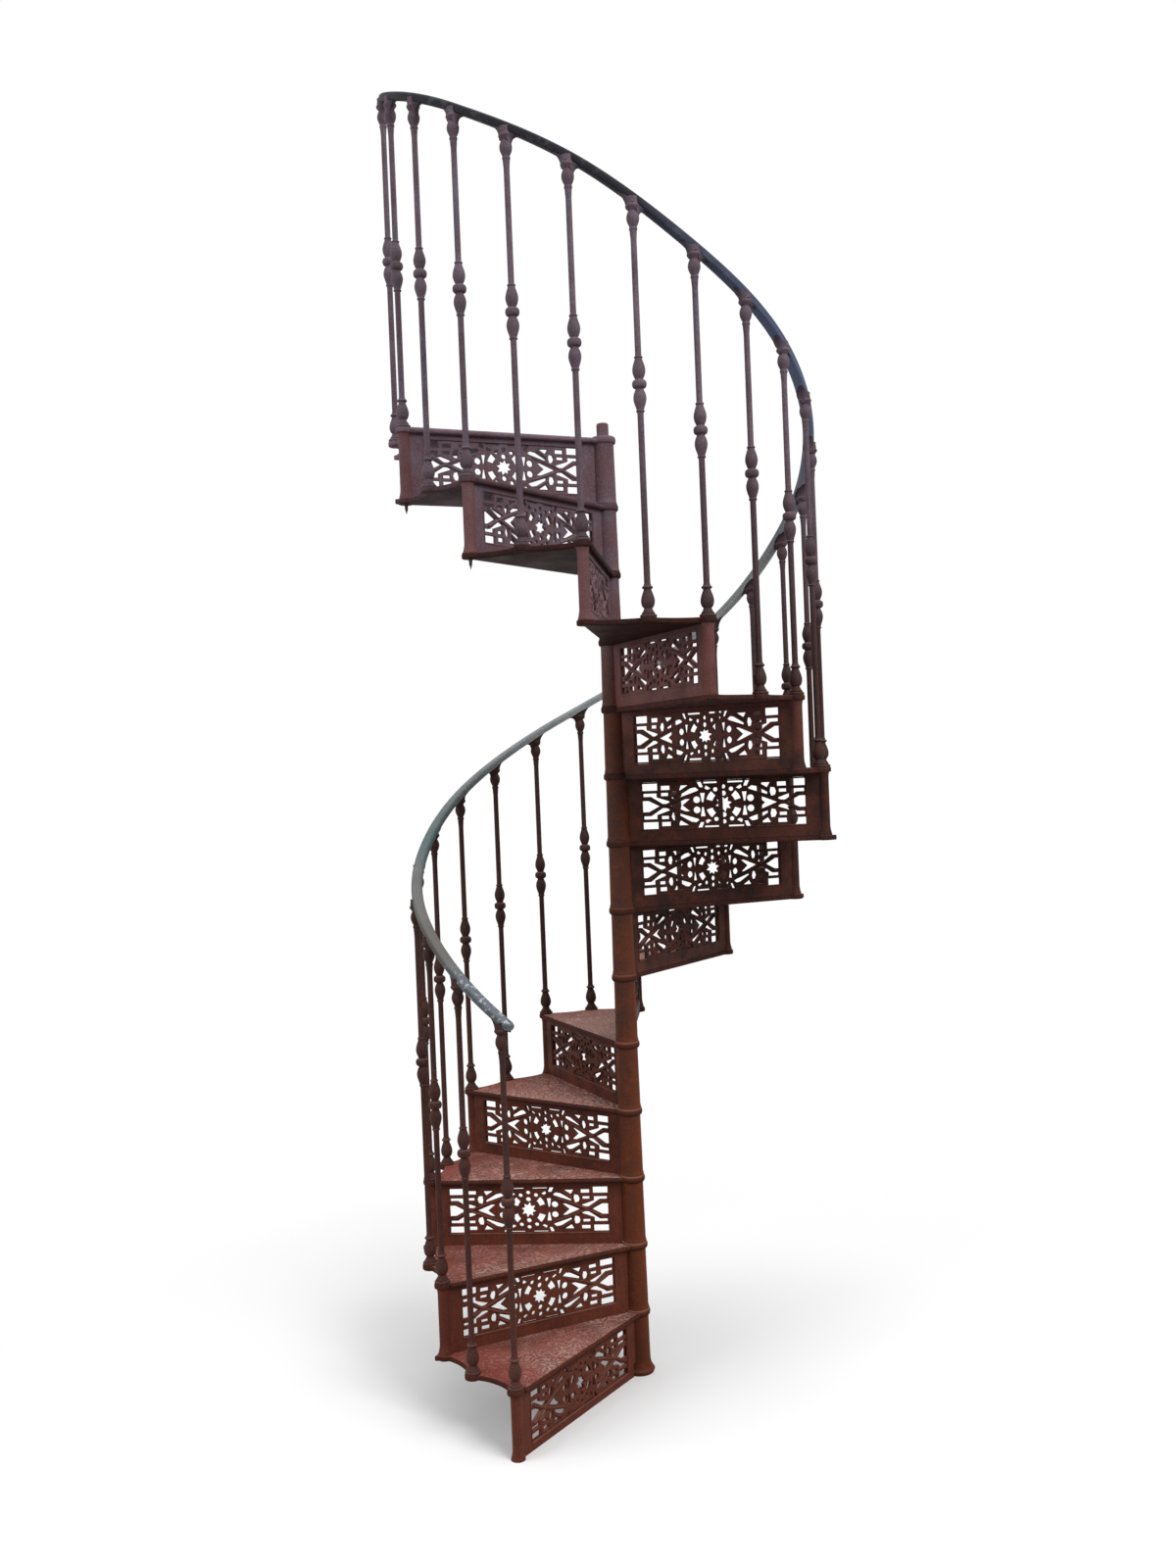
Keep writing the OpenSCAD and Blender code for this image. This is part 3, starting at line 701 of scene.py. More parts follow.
def outward(line):
    """Unit normals of a closed line that runs counter-clockwise."""
    step = np.roll(line, -1, 0) - line
    step /= np.linalg.norm(step, axis=1, keepdims=True)
    mean = step + np.roll(step, 1, 0)
    mean /= np.linalg.norm(mean, axis=1, keepdims=True)
    return np.stack([mean[:, 1], -mean[:, 0]], 1)


def tread_plate():
    """Plate below z = 0 with its edge rounded above and below: outline less inset, at each height."""
    z = sizes()
    line = tread_outline()
    normal = outward(line)
    a = np.linspace(0, np.pi / 2, 5)
    inset = PLATE_EDGE * np.concatenate([1 - np.sin(a), 1 - np.cos(a)])
    height = np.concatenate([PLATE_EDGE * (1 - np.cos(a)) - z.tread_t, PLATE_EDGE * (np.sin(a) - 1)])
    flat = line[None] - inset[:, None, None] * normal[None]
    return np.concatenate([flat, np.broadcast_to(height[:, None, None], flat.shape[:2] + (1,))], 2)


def nosing_roll():
    """Round roll along the tread's front edge: (x, r cos a, r sin a), with a domed outer end."""
    z = sizes()
    dome = np.linspace(0, ROLL_DOME, 7)[1:]
    x0, x1 = z.collar_r / 2, z.post_circle - z.lobe_r
    x = np.concatenate([[x0], np.linspace(x0 + 0.01, x1, ROLL_ROWS), x1 + z.nosing_r * np.sin(dome)])
    r = z.nosing_r * np.concatenate([np.ones(ROLL_ROWS + 1), np.cos(dome)])
    a = round_angles(ROLL_SIDES)
    return np.stack(np.broadcast_arrays(
        x[:, None], z.nosing + r[:, None] * np.cos(a), -z.tread_t / 2 + r[:, None] * np.sin(a)), -1)


def collar_ring():
    """Bulging collar round the rod: a half-round outside and a straight bore, turned about +Z."""
    z = sizes()
    h = z.tread_t + z.collar_lift
    t = np.linspace(-1, 1, 13)
    bulge = COLLAR_BULGE * (np.sqrt(1 - t * t) - 1)
    outside = np.stack([z.collar_r + bulge, h * (t + 1) / 2 - z.tread_t], 1)
    bore = z.pole_r + ROD_ROOM
    loop = np.concatenate([outside, [[bore, z.collar_lift], [bore, -z.tread_t]]])
    a = round_angles(COLLAR_SIDES)[:, None]
    r, height = loop[None, :, 0], loop[None, :, 1]
    return np.stack(np.broadcast_arrays(r * np.cos(a), r * np.sin(a), height), -1)


class STAIR_OT_treads(bpy.types.Operator):
    """Wedge treads with lobed edges, a nosing roll and a collar round the rod"""
    bl_idname = "stair.treads"
    bl_label = "Treads"

    def execute(self, context):
        finish = tread_finish()
        plate, roll, collar = tread_plate(), nosing_roll(), collar_ring()
        for k in range(1, STEPS + 1):
            angle = float(direction(k))
            parts = [tube(placed(plate, angle, level(k))), tube(placed(roll, angle, level(k))),
                     tube(placed(collar, angle, level(k)), ring=True)]
            piece = make_piece(f"tread_cast_{k:02d}", parts, finish, "tread_iron", f"tread_{k:02d}",
                               crease=50)
            # Distance in front of the riser's plane, for the wear
            x, y = np.concatenate([p for p, _ in parts])[:, :2].T
            set_values(piece, "front", y * math.cos(angle) - x * math.sin(angle))
        return {"FINISHED"}


# Risers

# Openings of one quarter of the panel, as shares of its half width and half height
QUARTER_OPENINGS = [
    [[0.80, 0.65], [1, 0.65], [1, 0.88], [0.97, 1], [0.80, 1]],
    [[0.66, 0.09], [0.74, 0.09], [0.88, 0.40], [0.97, 0.40], [0.97, 0.53], [0.81, 0.53], [0.81, 0.36],
     [0.66, 0.19]],
    [[0.65, 0.66], [0.755, 0.66], [0.755, 0.83], [0.65, 0.83]],
    [[0.67, 0.41], [0.755, 0.41], [0.755, 0.54], [0.67, 0.54]],
    [[0.575, 0.26], [0.62, 0.30], [0.635, 0.45], [0.615, 0.60], [0.57, 0.62], [0.56, 0.45]],
    [[0.43, 0.82], [0.56, 0.82], [0.525, 0.62]],
    [[0.30, 0.62], [0.34, 0.72], [0.40, 0.68], [0.53, 0.42], [0.525, 0.34], [0.32, 0.57]],
    [[0.225, 0.48], [0.28, 0.48], [0.262, 0.10], [0.245, 0.10]],
    [[0.245, 0.72], [0.285, 0.72], [0.325, 1], [0.275, 1]],
    [[0.055, 0.87], [0.235, 0.87], [0.235, 1], [0.055, 1]],
    [[0.155, 0.66], [0.21, 0.78], [0.225, 0.66], [0.19, 0.60]],
]
# Openings across the panel's long axis, of one half of its width
ARROW_OPENINGS = [
    [[0.78, 0], [0.91, 0.23], [1, 0.23], [1, 0], [1, -0.23], [0.91, -0.23]],
    [[0.64, 0], [0.46, 0.25], [0.41, 0.25], [0.50, 0], [0.41, -0.25], [0.46, -0.25]],
]
# Round openings of one quarter: place in the same shares, and radius as a share of the half height
ROUND_OPENINGS = [(0.325, 0.21, 0.135), (0.095, 0.61, 0.085)]
# Round openings on the panel's short axis: height and radius as shares of the half height
AXIS_ROUNDS = [(0.44, 0.10), (0.72, 0.085)]
# The star in the middle and the four openings of the ring round it: radii in the same shares, and angles
STAR_TIP, STAR_ROOT, STAR_POINTS = 0.34, 0.20, 8
RING_OUTER, RING_INNER, RING_ANGLE, RING_HALF = 0.73, 0.48, math.radians(32), math.radians(15)
ROUND_SIDES, RING_ROWS, POST_SIDES = 14, 7, 28
# Middle lines of the raised ribs of one quarter, in the same shares
RIB_LINES = [
    [[0.35, 0.46], [0.55, 0.24], [0.72, 0.01], [0.82, -0.16], [0.915, -0.33]],
    [[0.42, 0.745], [0.54, 0.49]],
]
# Sections of the mouldings as [outward from the line, above the panel's face] rows, rooted below that face
ROOT = -0.001
LIP_SECTION = [[0.0002, ROOT], [0.0003, 0.00042], [0.0010, 0.0006], [0.0020, 0.00036], [0.0024, ROOT]]
BORDER_SECTION = [[-0.0005, ROOT], [-0.0005, 0.004], [-0.0022, 0.0046], [-0.0048, 0.0036], [-0.0062, 0.001],
                  [-0.0064, ROOT]]
RIB_HALF, RIB_PROUD = 0.0030, 0.0034
# A post: height of its foot's straight rim, how much higher the foot's hollow ends, and its cap's height and
# reach
POST_RIM, POST_EASE, POST_CAP_H, POST_CAP_OUT = 0.003, 0.006, 0.016, 0.0026
# The flange that closes on the sleeve: how far it lies inside the sleeve and the frame, and above the foot
FLANGE_IN, FLANGE_SHY, FLANGE_LIFT = 0.002, 0.0015, 0.004
# Distance from the axis at which the posts start, and heights over which they keep their red paint
POSTS_FROM, POSTS_RED = (0.560, 0.566), (1.75, 2.25)
# Signs that mirror one quarter of the panel to all four
SIGNS = [(u, v) for u in (1, -1) for v in (1, -1)]


def panel_halves():
    """Half width and half height of the pierced panel, then the radius and height of its middle."""
    z = sizes()
    hw = (z.post_circle - z.stile - z.panel_start) / 2
    hh = (z.rise - z.tread_t - z.bottom_rail - z.top_rail) / 2
    return hw, hh, z.panel_start + hw, z.bottom_rail + hh


def signed_area(line):
    """Twice the area inside a closed line, the sum of x y' - x' y: above 0 if it runs counter-clockwise."""
    x, y = line.T
    return np.sum(x * np.roll(y, -1) - np.roll(x, -1) * y)


def panel_openings():
    """Closed outlines of all openings about the panel's middle, in metres, counter-clockwise."""
    hw, hh = panel_halves()[:2]
    a = round_angles(ROUND_SIDES)
    circle = np.stack([np.cos(a), np.sin(a)], 1)
    found = []
    for table in QUARTER_OPENINGS:
        found += [np.array(table) * (u * hw, v * hh) for u, v in SIGNS]
    for table in ARROW_OPENINGS:
        found += [np.array(table) * (u * hw, hh) for u in (1, -1)]
    for x, y, r in ROUND_OPENINGS:
        found += [r * hh * circle + (u * x * hw, v * y * hh) for u, v in SIGNS]
    for y, r in AXIS_ROUNDS:
        found += [r * hh * circle + (0, v * y * hh) for v in (1, -1)]
    i = np.arange(2 * STAR_POINTS)
    a = np.pi * (i + 0.5) / STAR_POINTS
    tip = np.where(i % 2 == 0, STAR_TIP, STAR_ROOT)
    found.append(hh * np.stack([tip * np.cos(a), tip * np.sin(a)], 1))
    sweep = np.linspace(-RING_HALF, RING_HALF, RING_ROWS)
    for middle in (RING_ANGLE, np.pi - RING_ANGLE, np.pi + RING_ANGLE, -RING_ANGLE):
        a = middle + np.concatenate([sweep, sweep[::-1]])
        r = np.repeat([RING_OUTER, RING_INNER], RING_ROWS)
        found.append(hh * np.stack([r * np.cos(a), r * np.sin(a)], 1))
    return [line if signed_area(line) > 0 else line[::-1] for line in found]


def lip(line, profile, face, closed=True):
    """A moulding on a riser's face: a profile of [outward, proud] rows carried round a line in its plane."""
    n = outward(line) if closed else across(line)
    flat = line[:, None] + profile[None, :, :1] * n[:, None]
    proud = np.broadcast_to(face * profile[None, :, 1:], flat.shape[:2] + (1,))
    return np.stack([flat[..., 0], proud[..., 0], flat[..., 1]], -1)


def across(line):
    """Unit normals of an open line."""
    step = np.gradient(line, axis=0)
    step /= np.linalg.norm(step, axis=1, keepdims=True)
    return np.stack([step[:, 1], -step[:, 0]], 1)


def mouldings():
    """Mouldings on both faces of a panel: a lip round each opening, ribs of half-round section, and a bead
    along the border."""
    hw, hh, mid_r, mid_z = panel_halves()
    middle = np.array([mid_r, 0, mid_z])
    a = np.linspace(0, np.pi, 7)
    crown = np.stack([RIB_HALF * np.cos(a), RIB_PROUD * np.sin(a)], 1)
    face_at = (0, sizes().panel_t / 2)
    rim, border = np.array(LIP_SECTION) + face_at, np.array(BORDER_SECTION) + face_at
    rib = np.concatenate([[[RIB_HALF, ROOT]], crown, [[-RIB_HALF, ROOT]]]) + face_at
    edge = np.array([[-hw, -hh], [hw, -hh], [hw, hh], [-hw, hh]])
    parts = []
    for face in (1, -1):
        parts += [tube(lip(line, rim, face) + middle, ring=True) for line in panel_openings()]
        parts.append(tube(lip(edge, border, face) + middle, ring=True))
        for line in RIB_LINES:
            parts += [tube(lip(np.array(line) * (u * hw, v * hh), rib, face, closed=False) + middle)
                      for u, v in SIGNS]
    return parts


def riser_relief(base):
    """Surfaces of one riser in its own plane, from its base up: the panel's mouldings, the turned post and
    the flange that closes on the sleeve."""
    z = sizes()
    h = z.rise - z.tread_t
    r = z.post_r + SKIN
    pillar = lathe(np.concatenate([
        [[z.flare_r, base]], cove(base + POST_RIM, base + z.flare_h + POST_EASE, z.flare_r, r, n=10),
        cove(h, h - POST_CAP_H, r + POST_CAP_OUT, r, n=8)[::-1]]), POST_SIDES)
    pillar[..., 0] += z.post_circle
    inner, deep = z.sleeve_r - FLANGE_IN, z.frame_t / 2 - FLANGE_SHY
    edge = np.array([[inner, -deep], [z.collar_r, -deep], [z.collar_r, deep], [inner, deep]])
    ends = np.array([base + z.foot_h + FLANGE_LIFT, h])
    flange = np.stack(np.broadcast_arrays(edge[None, :, 0], edge[None, :, 1], ends[:, None]), -1)
    return mouldings() + [tube(pillar), tube(flange)]


def riser_finish():
    """Old paint with less painted haze on the round posts than on the panels."""
    c = colours()
    material, tree, coat, shader = painted("riser_paint", c.riser_paint, c.riser_dark, rust=0.2, fade=0.95,
                                           darker=0.8, above=0.1, span=(1.68, 2.44))
    place = object_place(tree)
    # The posts keep more of their red paint through the painted haze
    post = times(tree, ranged(tree, from_axis(tree, place), *POSTS_FROM),
                 ranged(tree, height_of(tree, place), *POSTS_RED, 0.0, 0.45))
    tree.links.new(mixed(tree, post, coat.outputs["Color"], c.riser_paint), shader.inputs["Base Color"])
    return material


class STAIR_OT_risers(bpy.types.Operator):
    """Old paint on the pierced risers, with mouldings on both faces and a turned post"""
    bl_idname = "stair.risers"
    bl_label = "Risers"

    def execute(self, context):
        finish = riser_finish()
        for k in range(1, STEPS + 1):
            for slot in bpy.data.objects[f"riser_{k:02d}"].material_slots:
                slot.material = finish
            relief = riser_relief(sizes().first_cut if k == 1 else 0.0)
            parts = [(placed(p, float(direction(k)), level(k - 1)), f) for p, f in relief]
            make_piece(f"riser_relief_{k:02d}", parts, finish, "riser_iron")
        return {"FINISHED"}


# Balusters

BALUSTER_SIDES, BRACKET_SIDES, BRACKET_ROWS, NUT_SIDES = 20, 28, 10, 20
# Turned members, bottom up: heights and radii of both ends, swelling, the share at which it peaks, and rows.
# The foot's heights are from the tread, those of the knop's lower half from its bead, and the head's from the
# handrail's middle
FOOT_MEMBERS = [
    (0.0, 0.0065, 0.0195, 0.0195, 0.0015), (0.0065, 0.0085, 0.0172, 0.0172, 0.0, 0.5, 3),
    (0.0085, 0.0125, 0.0150, 0.0150, 0.0012, 0.5, 5), (0.0125, 0.022, 0.0136, 0.0102),
    (0.022, 0.066, 0.0102, 0.0096, 0.0070, 0.40, 13), (0.066, 0.0685, 0.0096, 0.0096, 0.0, 0.5, 3),
    (0.0685, 0.0765, 0.0100, 0.0100, 0.0036), (0.0765, 0.083, 0.0098, 0.0079),
]
KNOP_MEMBERS = [
    (-0.070, -0.0672, 0.0077, 0.0090, 0.0, 0.5, 4), (-0.0672, -0.0625, 0.0092, 0.0092, 0.0016, 0.5, 5),
    (-0.0625, -0.0125, 0.0088, 0.0098, 0.0066, 0.56, 15), (-0.0125, -0.0105, 0.0102, 0.0102, 0.0, 0.5, 3),
]
HEAD_MEMBERS = [
    (-0.108, -0.084, 0.0074, 0.0088, 0.0, 0.5, 6), (-0.084, -0.074, 0.0086, 0.0086, 0.0018),
    (-0.074, -0.036, 0.0088, 0.0106, 0.0060, 0.50, 13), (-0.036, -0.030, 0.0106, 0.0146, 0.0, 0.5, 6),
    (-0.030, -0.020, 0.0150, 0.0150, 0.0026), (-0.020, -0.003, 0.0148, 0.0146, -0.0006, 0.5, 5),
]
# The knop's bead: radius at its edges, how far it swells, and half its height
BEAD_R, BEAD_BULGE, BEAD_HALF = 0.0110, 0.0068, 0.0105
# Brackets under the handrail: radius of the neck, how much less it is downhill, reach at the sides, and how
# far they stand in the handrail
NECK_R, NECK_SKEW, SIDE_REACH, SUNK = 0.0150, 0.0008, 0.005, 0.0015
# What they reach further downhill and uphill, and the same beside the handrail's lower and upper end
DOWNHILL, UPHILL, FIRST_DOWNHILL, LAST_UPHILL = 0.031, 0.026, 0.006, 0.004
# Power by which that reach narrows towards the sides, and share of the handrail's darker upper colour at the
# brackets' top
ARM_POWER, BRACKET_DARK_SHARE = 1.5, 0.8
# A pendant nut: drop of its waist as a share of its height, radii of its tip, waist and rim, and its swelling
NUT_WAIST, NUT_TIP_R, NUT_WAIST_R, NUT_RIM_R, NUT_SWELL = 0.30, 0.0007, 0.0042, 0.0060, 0.0006


def turned(members):
    """Rows of several turned members, one after the other."""
    return np.concatenate([member(*row) for row in members])


def baluster_profile(reach):
    """Turned outline of a baluster that stands reach below the handrail's middle, as [radius, height] rows: a
    foot, a knop with a half-round bead between two like halves, and a head."""
    t = np.linspace(-1, 1, 11)
    bead = np.stack([BEAD_R + BEAD_BULGE * np.sqrt(1 - t * t), BEAD_HALF * t], 1)
    half = turned(KNOP_MEMBERS)
    knop = np.concatenate([half, bead, half[::-1] * (1, -1)]) + (0, reach - sizes().knop_drop)
    return np.concatenate([turned(FOOT_MEMBERS), knop, turned(HEAD_MEMBERS) + (0, reach)])


def head_bracket(reach, slope, downhill, uphill):
    """Bracket between a baluster's head and the handrail: at every angle a curve
    (1-t)^2 P + 2t(1-t) Q + t^2 R that leaves the neck upright at P, bends at Q under the rail and ends at R
    along the rail's underside."""
    z = sizes()
    turn = round_angles(BRACKET_SIDES)[None]
    t = np.linspace(0, 1, BRACKET_ROWS)[:, None]
    cos, sin = np.cos(turn), np.sin(turn)
    neck = NECK_R - NECK_SKEW * sin
    arm = SIDE_REACH + np.where(sin > 0, downhill, uphill) * np.abs(sin) ** ARM_POWER
    under = reach - z.rail_t / 2 / math.cos(slope) + SUNK
    bend = under - math.tan(slope) * neck * sin
    end = under - math.tan(slope) * (neck + arm) * sin
    y = neck * sin + t * t * arm * sin
    h = (1 - t) ** 2 * (bend - arm) + 2 * t * (1 - t) * bend + t * t * end
    return np.stack(np.broadcast_arrays(neck * cos - z.rail_inset * t * t, y, h), -1)


def pendant():
    """Pointed nut under a tread's back corner: a drop that narrows to a point, below z = 0."""
    h = sizes().pendant_h
    waist = -NUT_WAIST * h
    return lathe(np.concatenate([
        member(-h, waist, NUT_TIP_R, NUT_WAIST_R, NUT_SWELL, 0.6, n=9),
        cove(0.0, waist, NUT_RIM_R, NUT_WAIST_R)[::-1]]), NUT_SIDES)


def baluster_finish():
    """Old paint that turns towards the handrail's darker upper colour up the brackets, under the handrail."""
    c = colours()
    material, tree, coat, shader = painted("baluster_paint", c.baluster_paint, c.baluster_dark, rust=0.1,
                                           darker=0.95, above=1.0, span=(1.85, 2.75))
    bracket = add(tree, "ShaderNodeAttribute", attribute_name="bracket").outputs["Fac"]
    share = ranged(tree, bracket, 0.0, 1.0, 0.0, BRACKET_DARK_SHARE)
    tree.links.new(mixed(tree, share, coat.outputs["Color"], c.rail_top), shader.inputs["Base Color"])
    return material


def tread_balusters(k):
    """The balusters of one tread, each with its bracket, and the nut of an upper tread, as closed surfaces;
    and for each point how far up the bracket it lies, from 0 to 1."""
    z = sizes()
    parts, shares = [], []
    for s in (k, k + 0.5):
        height, slope = (float(value) for value in rail_line(s))
        reach = height - level(k)
        shaft = lathe(baluster_profile(reach), BALUSTER_SIDES)
        head = head_bracket(reach, slope, FIRST_DOWNHILL if s == 1 else DOWNHILL,
                            LAST_UPHILL if s == STEPS + 0.5 else UPHILL)
        angle = float(direction(s))
        parts += [tube(placed(shape, angle, level(k), z.post_circle)) for shape in (shaft, head)]
        rows = np.linspace(0, 1, BRACKET_ROWS)[:, None]
        shares += [np.zeros(shaft.shape[:2]), np.broadcast_to(rows, head.shape[:2])]
    if STEPS - PENDANTS <= k < STEPS:
        nut = pendant()
        parts.append(tube(placed(nut, float(direction(k + 1)), level(k) - z.tread_t, z.post_circle)))
        shares.append(np.zeros(nut.shape[:2]))
    return parts, np.concatenate([share.ravel() for share in shares])


class STAIR_OT_balusters(bpy.types.Operator):
    """Turned balusters with brackets under the handrail, and the pendant nuts under the posts"""
    bl_idname = "stair.balusters"
    bl_label = "Balusters"

    def execute(self, context):
        finish = baluster_finish()
        for k in range(1, STEPS + 1):
            parts, shares = tread_balusters(k)
            piece = make_piece(f"balusters_turned_{k:02d}", parts, finish, "baluster_iron",
                               f"balusters_{k:02d}", crease=35)
            set_values(piece, "bracket", shares)
        return {"FINISHED"}


# Handrail

RAIL_SIDES, RAIL_ROWS, END_ROWS = 28, 420, 8
# Powers that shape the section's rounded top, flat underside and sides, and the rounded ends
TOP_POWER, UNDER_POWER, SIDE_POWER, END_POWER = 0.85, 0.45, 0.62, 0.6
# Angle at which a rounded end starts with a small flat
END_FLAT = 0.06
# Heights over which the handrail's paints set in and end, from its lower end up
BLUE_END, BARE_END = (1.19, 1.25), (1.17, 1.24)
WARM_FROM, WARM_TO = (1.14, 1.26), (1.30, 1.65)
GREEN_FROM, GREEN_TO = (1.45, 1.52), (1.55, 1.65)
SLATE_FROM, SLATE_TO = (2.3, 2.6), (2.80, 3.10)
# The second range is where the painted light on the underside ends
DARK_SIDES_TO, LIT_UNDERSIDE_TO = (1.45, 2.0), (2.9, 3.2)
# Noise of the bare scratches
SCRATCHES = (75.0, 5.0, 0.7)


def signed_power(values, power):
    """Values raised to a power, with their signs kept."""
    return np.sign(values) * np.abs(values) ** power


def handrail_surface():
    """Handrail: an outline with a flat underside and a rounded top, (cos b, sin b) raised to powers, carried
    up the helix and shrinking at its ends."""
    z = sizes()
    radius = z.post_circle - z.rail_inset
    step_l = radius * z.turn
    first, last = 1 - z.rail_lead / step_l, STEPS + 0.5 + z.rail_tail / step_l
    end = z.rail_w / 2 / step_l
    a = np.linspace(END_FLAT, np.pi / 2, END_ROWS)
    tip, shrunk = end * (1 - np.cos(a)), np.sin(a) ** END_POWER
    run = np.linspace(first + end, last - end, RAIL_ROWS)[1:-1]
    s = np.concatenate([first + tip, run, (last - tip)[::-1]])
    size = np.concatenate([shrunk, np.ones(len(run)), shrunk[::-1]])[:, None]
    b = round_angles(RAIL_SIDES)
    x = size * (z.rail_w / 2 * signed_power(np.cos(b), SIDE_POWER))
    n = size * (z.rail_t / 2 * signed_power(np.sin(b), np.where(np.sin(b) > 0, TOP_POWER, UNDER_POWER)))
    height, slope = (value[:, None] for value in rail_line(s))
    cos, sin = np.cos(direction(s))[:, None], np.sin(direction(s))[:, None]
    r, t = radius + x, n * np.sin(slope)
    return np.stack([r * cos - t * sin, r * sin + t * cos, height + n * np.cos(slope)], -1)


def handrail_finish():
    """Many-coloured old paint: scratched blue-grey at the lower end, then warm grey, green and pale grey,
    slate half way up and nearly black on top, with darker sides low down and painted light on the underside."""
    c = colours()
    material, tree, coat, shader = painted(
        "rail_paint", c.rail_paint, c.rail_dark, rust=0.05, dust=0.0, streak=0.1, darker=0.15,
        haze_and_upper_paint=c.rail_top, fade=1.35, span=(2.30, 3.00), bump=0.25, sheen=0.1)
    place = object_place(tree)
    height, upward = height_of(tree, place), facing(tree)[2]
    paint = mixed(tree, band(tree, height, SLATE_FROM, SLATE_TO, 0.8), coat.outputs["Color"], c.rail_slate)
    warm = times(tree, ranged(tree, height, *WARM_FROM, 0.5, 1.0), ranged(tree, height, *WARM_TO, 0.85, 0.0))
    paint = mixed(tree, warm, paint, c.rail_low)
    paint = mixed(tree, band(tree, height, GREEN_FROM, GREEN_TO, 0.65), paint, c.rail_green)
    paint = mixed(tree, ranged(tree, height, *BLUE_END, 0.75, 0.0), paint, c.rail_dark)
    bare = times(tree, ranged(tree, noise(tree, place, *SCRATCHES), 0.55, 0.63),
                 ranged(tree, height, *BARE_END, 0.8, 0.0))
    paint = mixed(tree, bare, paint, c.rail_bare)
    # Painted light: the underside is made up to 2.2 times lighter, less so high up
    under = times(tree, ranged(tree, upward, -0.1, -0.6), ranged(tree, height, *LIT_UNDERSIDE_TO, 1.0, 0.2))
    # Hands keep the crown paler than the sides low down
    side = times(tree, ranged(tree, upward, 0.25, 0.85, 1.0, 0.0),
                 ranged(tree, height, *DARK_SIDES_TO, 1.0, 0.0))
    shade = times(tree, ranged(tree, under, 0.0, 1.0, 1.0, 2.2), ranged(tree, side, 0.0, 1.0, 1.0, 0.6))
    tree.links.new(shaded(tree, paint, shade), shader.inputs["Base Color"])
    return material


class STAIR_OT_handrail(bpy.types.Operator):
    """Helical handrail with a flat underside, a rounded top and rounded ends"""
    bl_idname = "stair.handrail"
    bl_label = "Handrail"

    def execute(self, context):
        make_piece("handrail_swept", [tube(handrail_surface())], handrail_finish(), "rail_iron", "handrail")
        return {"FINISHED"}


# Stage

FLOOR_HALF = 40.0
FLOOR_PALE, FLOOR_DIM, WHITE = (0.92, 0.92, 0.92, 1), (0.28, 0.27, 0.26, 1), (1, 1, 1, 1)
# Distance from the column over which the floor runs out to white
FLOOR_RUN_OUT = (0.9, 2.0)
# Strength of the world's light on the object, and of the white that is seen
WORLD_LIGHT, WORLD_SEEN = 0.55, 1.0
# Soft lights: place, target, size in metres and power in watts
LIGHTS = {
    "key": ((3.6, -4.2, 5.6), (0.0, 0.0, 1.6), 3.5, 325),
    "fill": ((-5.0, -2.2, 3.2), (0.0, 0.0, 1.6), 3.5, 120),
    "top": ((0.4, -0.4, 7.0), (0.0, 0.0, 1.5), 4.0, 120),
}
# The photograph's camera: place and reach in metres, turns in degrees, focal length and the picture's longer
# side in pixels, and sensor in millimetres
CAMERA_PLACE, CAMERA_REACH = (-0.02863, -3.91434, 1.71059), 200
CAMERA_YAW, CAMERA_PITCH, CAMERA_ROLL = 0.7684, -0.516, -2.3046
FOCAL_LENGTH, LONGER_SIDE, SENSOR = 1407.27, 1600, 36.0


def seen_rays(tree):
    """1 for what the camera, gloss or glass sees, and 0 for the light that a surface spreads."""
    rays = add(tree, "ShaderNodeLightPath").outputs
    return maths(tree, "MAXIMUM", rays["Is Camera Ray"],
                 maths(tree, "MAXIMUM", rays["Is Glossy Ray"], rays["Is Transmission Ray"]))


def floor_finish():
    """Pale floor that takes the object's shadow and runs out to plain white, and throws little light back."""
    material = bpy.data.materials.new("pale_floor")
    material.use_nodes = True
    tree = material.node_tree
    tree.nodes.remove(tree.nodes["Principled BSDF"])
    pale = add(tree, "ShaderNodeBsdfDiffuse", {"Color": FLOOR_PALE}).outputs[0]
    dim = add(tree, "ShaderNodeBsdfDiffuse", {"Color": FLOOR_DIM}).outputs[0]
    white = add(tree, "ShaderNodeEmission", {"Color": WHITE, "Strength": 1.0}).outputs[0]
    away = add(tree, "ShaderNodeVectorMath", {0: object_place(tree)}, operation="LENGTH").outputs["Value"]
    out = ranged(tree, away, *FLOOR_RUN_OUT)
    seen = add(tree, "ShaderNodeMixShader", {0: out, 1: pale, 2: white}).outputs[0]
    both = add(tree, "ShaderNodeMixShader", {0: seen_rays(tree), 1: dim, 2: seen}).outputs[0]
    tree.links.new(both, tree.nodes["Material Output"].inputs["Surface"])
    return material


def pale_floor():
    """A flat floor under the column's foot."""
    h = FLOOR_HALF
    mesh = bpy.data.meshes.new("floor")
    mesh.from_pydata([(-h, -h, 0), (h, -h, 0), (h, h, 0), (-h, h, 0)], [], [(0, 1, 2, 3)])
    mesh.materials.append(floor_finish())
    floor = bpy.data.objects.new("floor", mesh)
    bpy.context.scene.collection.objects.link(floor)


def studio_world():
    """White to the camera, to gloss and through glass, and a soft even light to everything else."""
    world = bpy.data.worlds.new("studio")
    world.use_nodes = True
    tree = world.node_tree
    back = tree.nodes["Background"]
    back.inputs["Color"].default_value = WHITE
    tree.links.new(ranged(tree, seen_rays(tree), 0.0, 1.0, WORLD_LIGHT, WORLD_SEEN), back.inputs["Strength"])
    bpy.context.scene.world = world


def soft_light(name, place, target, size, power):
    """A square area light at place, turned to target."""
    lamp = bpy.data.lights.new(name, "AREA")
    lamp.size, lamp.energy = size, power
    light = bpy.data.objects.new(name, lamp)
    light.location = place
    light.rotation_euler = (Vector(target) - Vector(place)).to_track_quat("-Z", "Y").to_euler()
    bpy.context.scene.collection.objects.link(light)


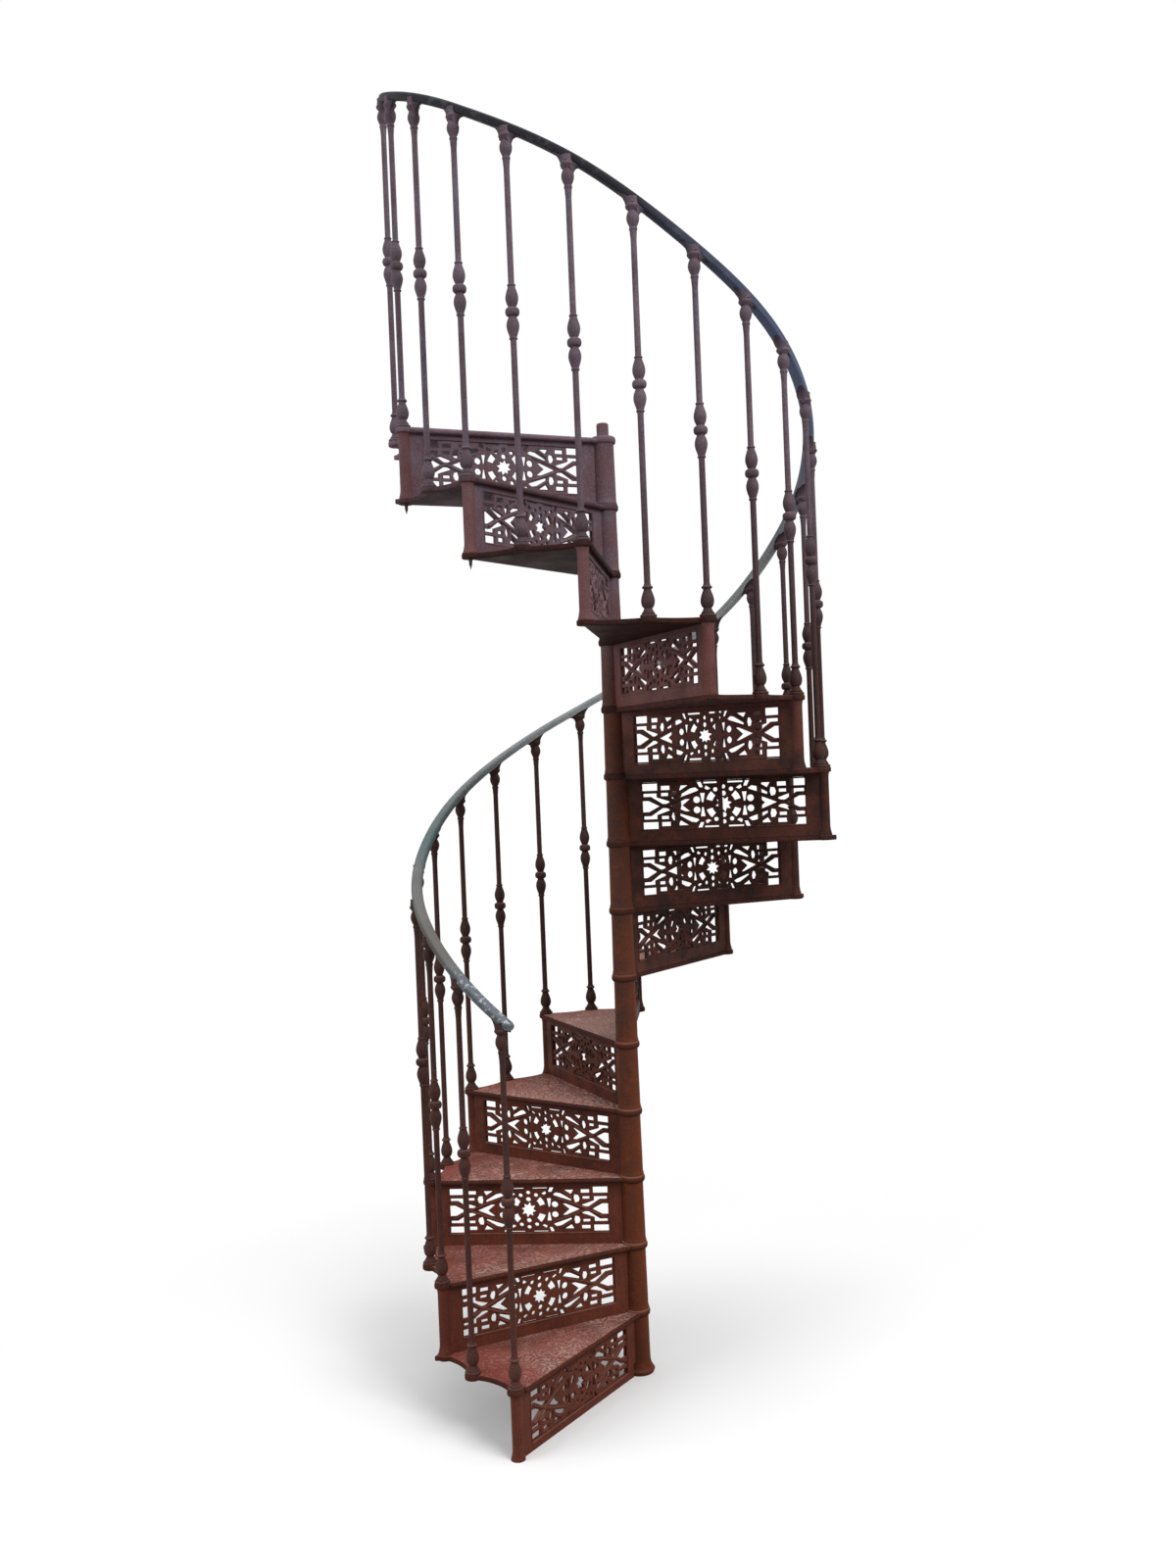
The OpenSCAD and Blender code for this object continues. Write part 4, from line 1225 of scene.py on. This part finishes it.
def photo_camera():
    """Camera at the photograph's place: turned by yaw about +Z, tilted by pitch and rolled about its axis."""
    yaw, pitch, roll = (math.radians(a) for a in (CAMERA_YAW, CAMERA_PITCH, CAMERA_ROLL))
    right = Vector((math.cos(yaw), math.sin(yaw), 0))
    look = Vector((-math.sin(yaw) * math.cos(pitch), math.cos(yaw) * math.cos(pitch), math.sin(pitch)))
    up = right.cross(look)
    x = right * math.cos(roll) + up * math.sin(roll)
    y = up * math.cos(roll) - right * math.sin(roll)
    lens = bpy.data.cameras.new("camera")
    lens.sensor_width = SENSOR
    lens.lens = FOCAL_LENGTH * SENSOR / LONGER_SIDE
    lens.clip_end = CAMERA_REACH
    camera = bpy.data.objects.new("camera", lens)
    spot = Matrix((x, y, -look)).transposed().to_4x4()
    spot.translation = CAMERA_PLACE
    camera.matrix_world = spot
    bpy.context.scene.collection.objects.link(camera)
    bpy.context.scene.camera = camera


class STAIR_OT_stage(bpy.types.Operator):
    """Pale floor, soft studio light and a camera at the photograph's angle"""
    bl_idname = "stair.stage"
    bl_label = "Stage"

    def execute(self, context):
        context.scene.view_settings.view_transform = "Standard"
        pale_floor()
        studio_world()
        for name, light in LIGHTS.items():
            soft_light(name, *light)
        photo_camera()
        return {"FINISHED"}


# Panel and run


class STAIR_PT_panel(bpy.types.Panel):
    """Sizes, colours and builders of the staircase"""
    bl_idname = "STAIR_PT_panel"
    bl_label = "Spiral staircase"
    bl_space_type = "VIEW_3D"
    bl_region_type = "UI"
    bl_category = "Stair"

    def draw(self, context):
        for operator in OPERATORS:
            self.layout.operator(operator.bl_idname)
        for group in (context.scene.stair_sizes, context.scene.stair_colours):
            box = self.layout.box()
            for name in group.bl_rna.properties.keys():
                if name not in ("rna_type", "name"):
                    box.prop(group, name)


OPERATORS = (STAIR_OT_column, STAIR_OT_treads, STAIR_OT_risers, STAIR_OT_balusters, STAIR_OT_handrail,
             STAIR_OT_stage)
CLASSES = (StairSizes, StairColours) + OPERATORS + (STAIR_PT_panel,)


def register():
    """Make the classes and the two groups of settings known."""
    for cls in CLASSES:
        bpy.utils.register_class(cls)
    bpy.types.Scene.stair_sizes = bpy.props.PointerProperty(type=StairSizes)
    bpy.types.Scene.stair_colours = bpy.props.PointerProperty(type=StairColours)


def unregister():
    """Take back what register made known."""
    del bpy.types.Scene.stair_colours
    del bpy.types.Scene.stair_sizes
    for cls in reversed(CLASSES):
        bpy.utils.unregister_class(cls)


def main():
    """Build the stage and all pieces."""
    register()
    bpy.ops.stair.stage()
    bpy.ops.stair.column()
    bpy.ops.stair.treads()
    bpy.ops.stair.risers()
    bpy.ops.stair.balusters()
    bpy.ops.stair.handrail()


if __name__ == "__main__":
    main()
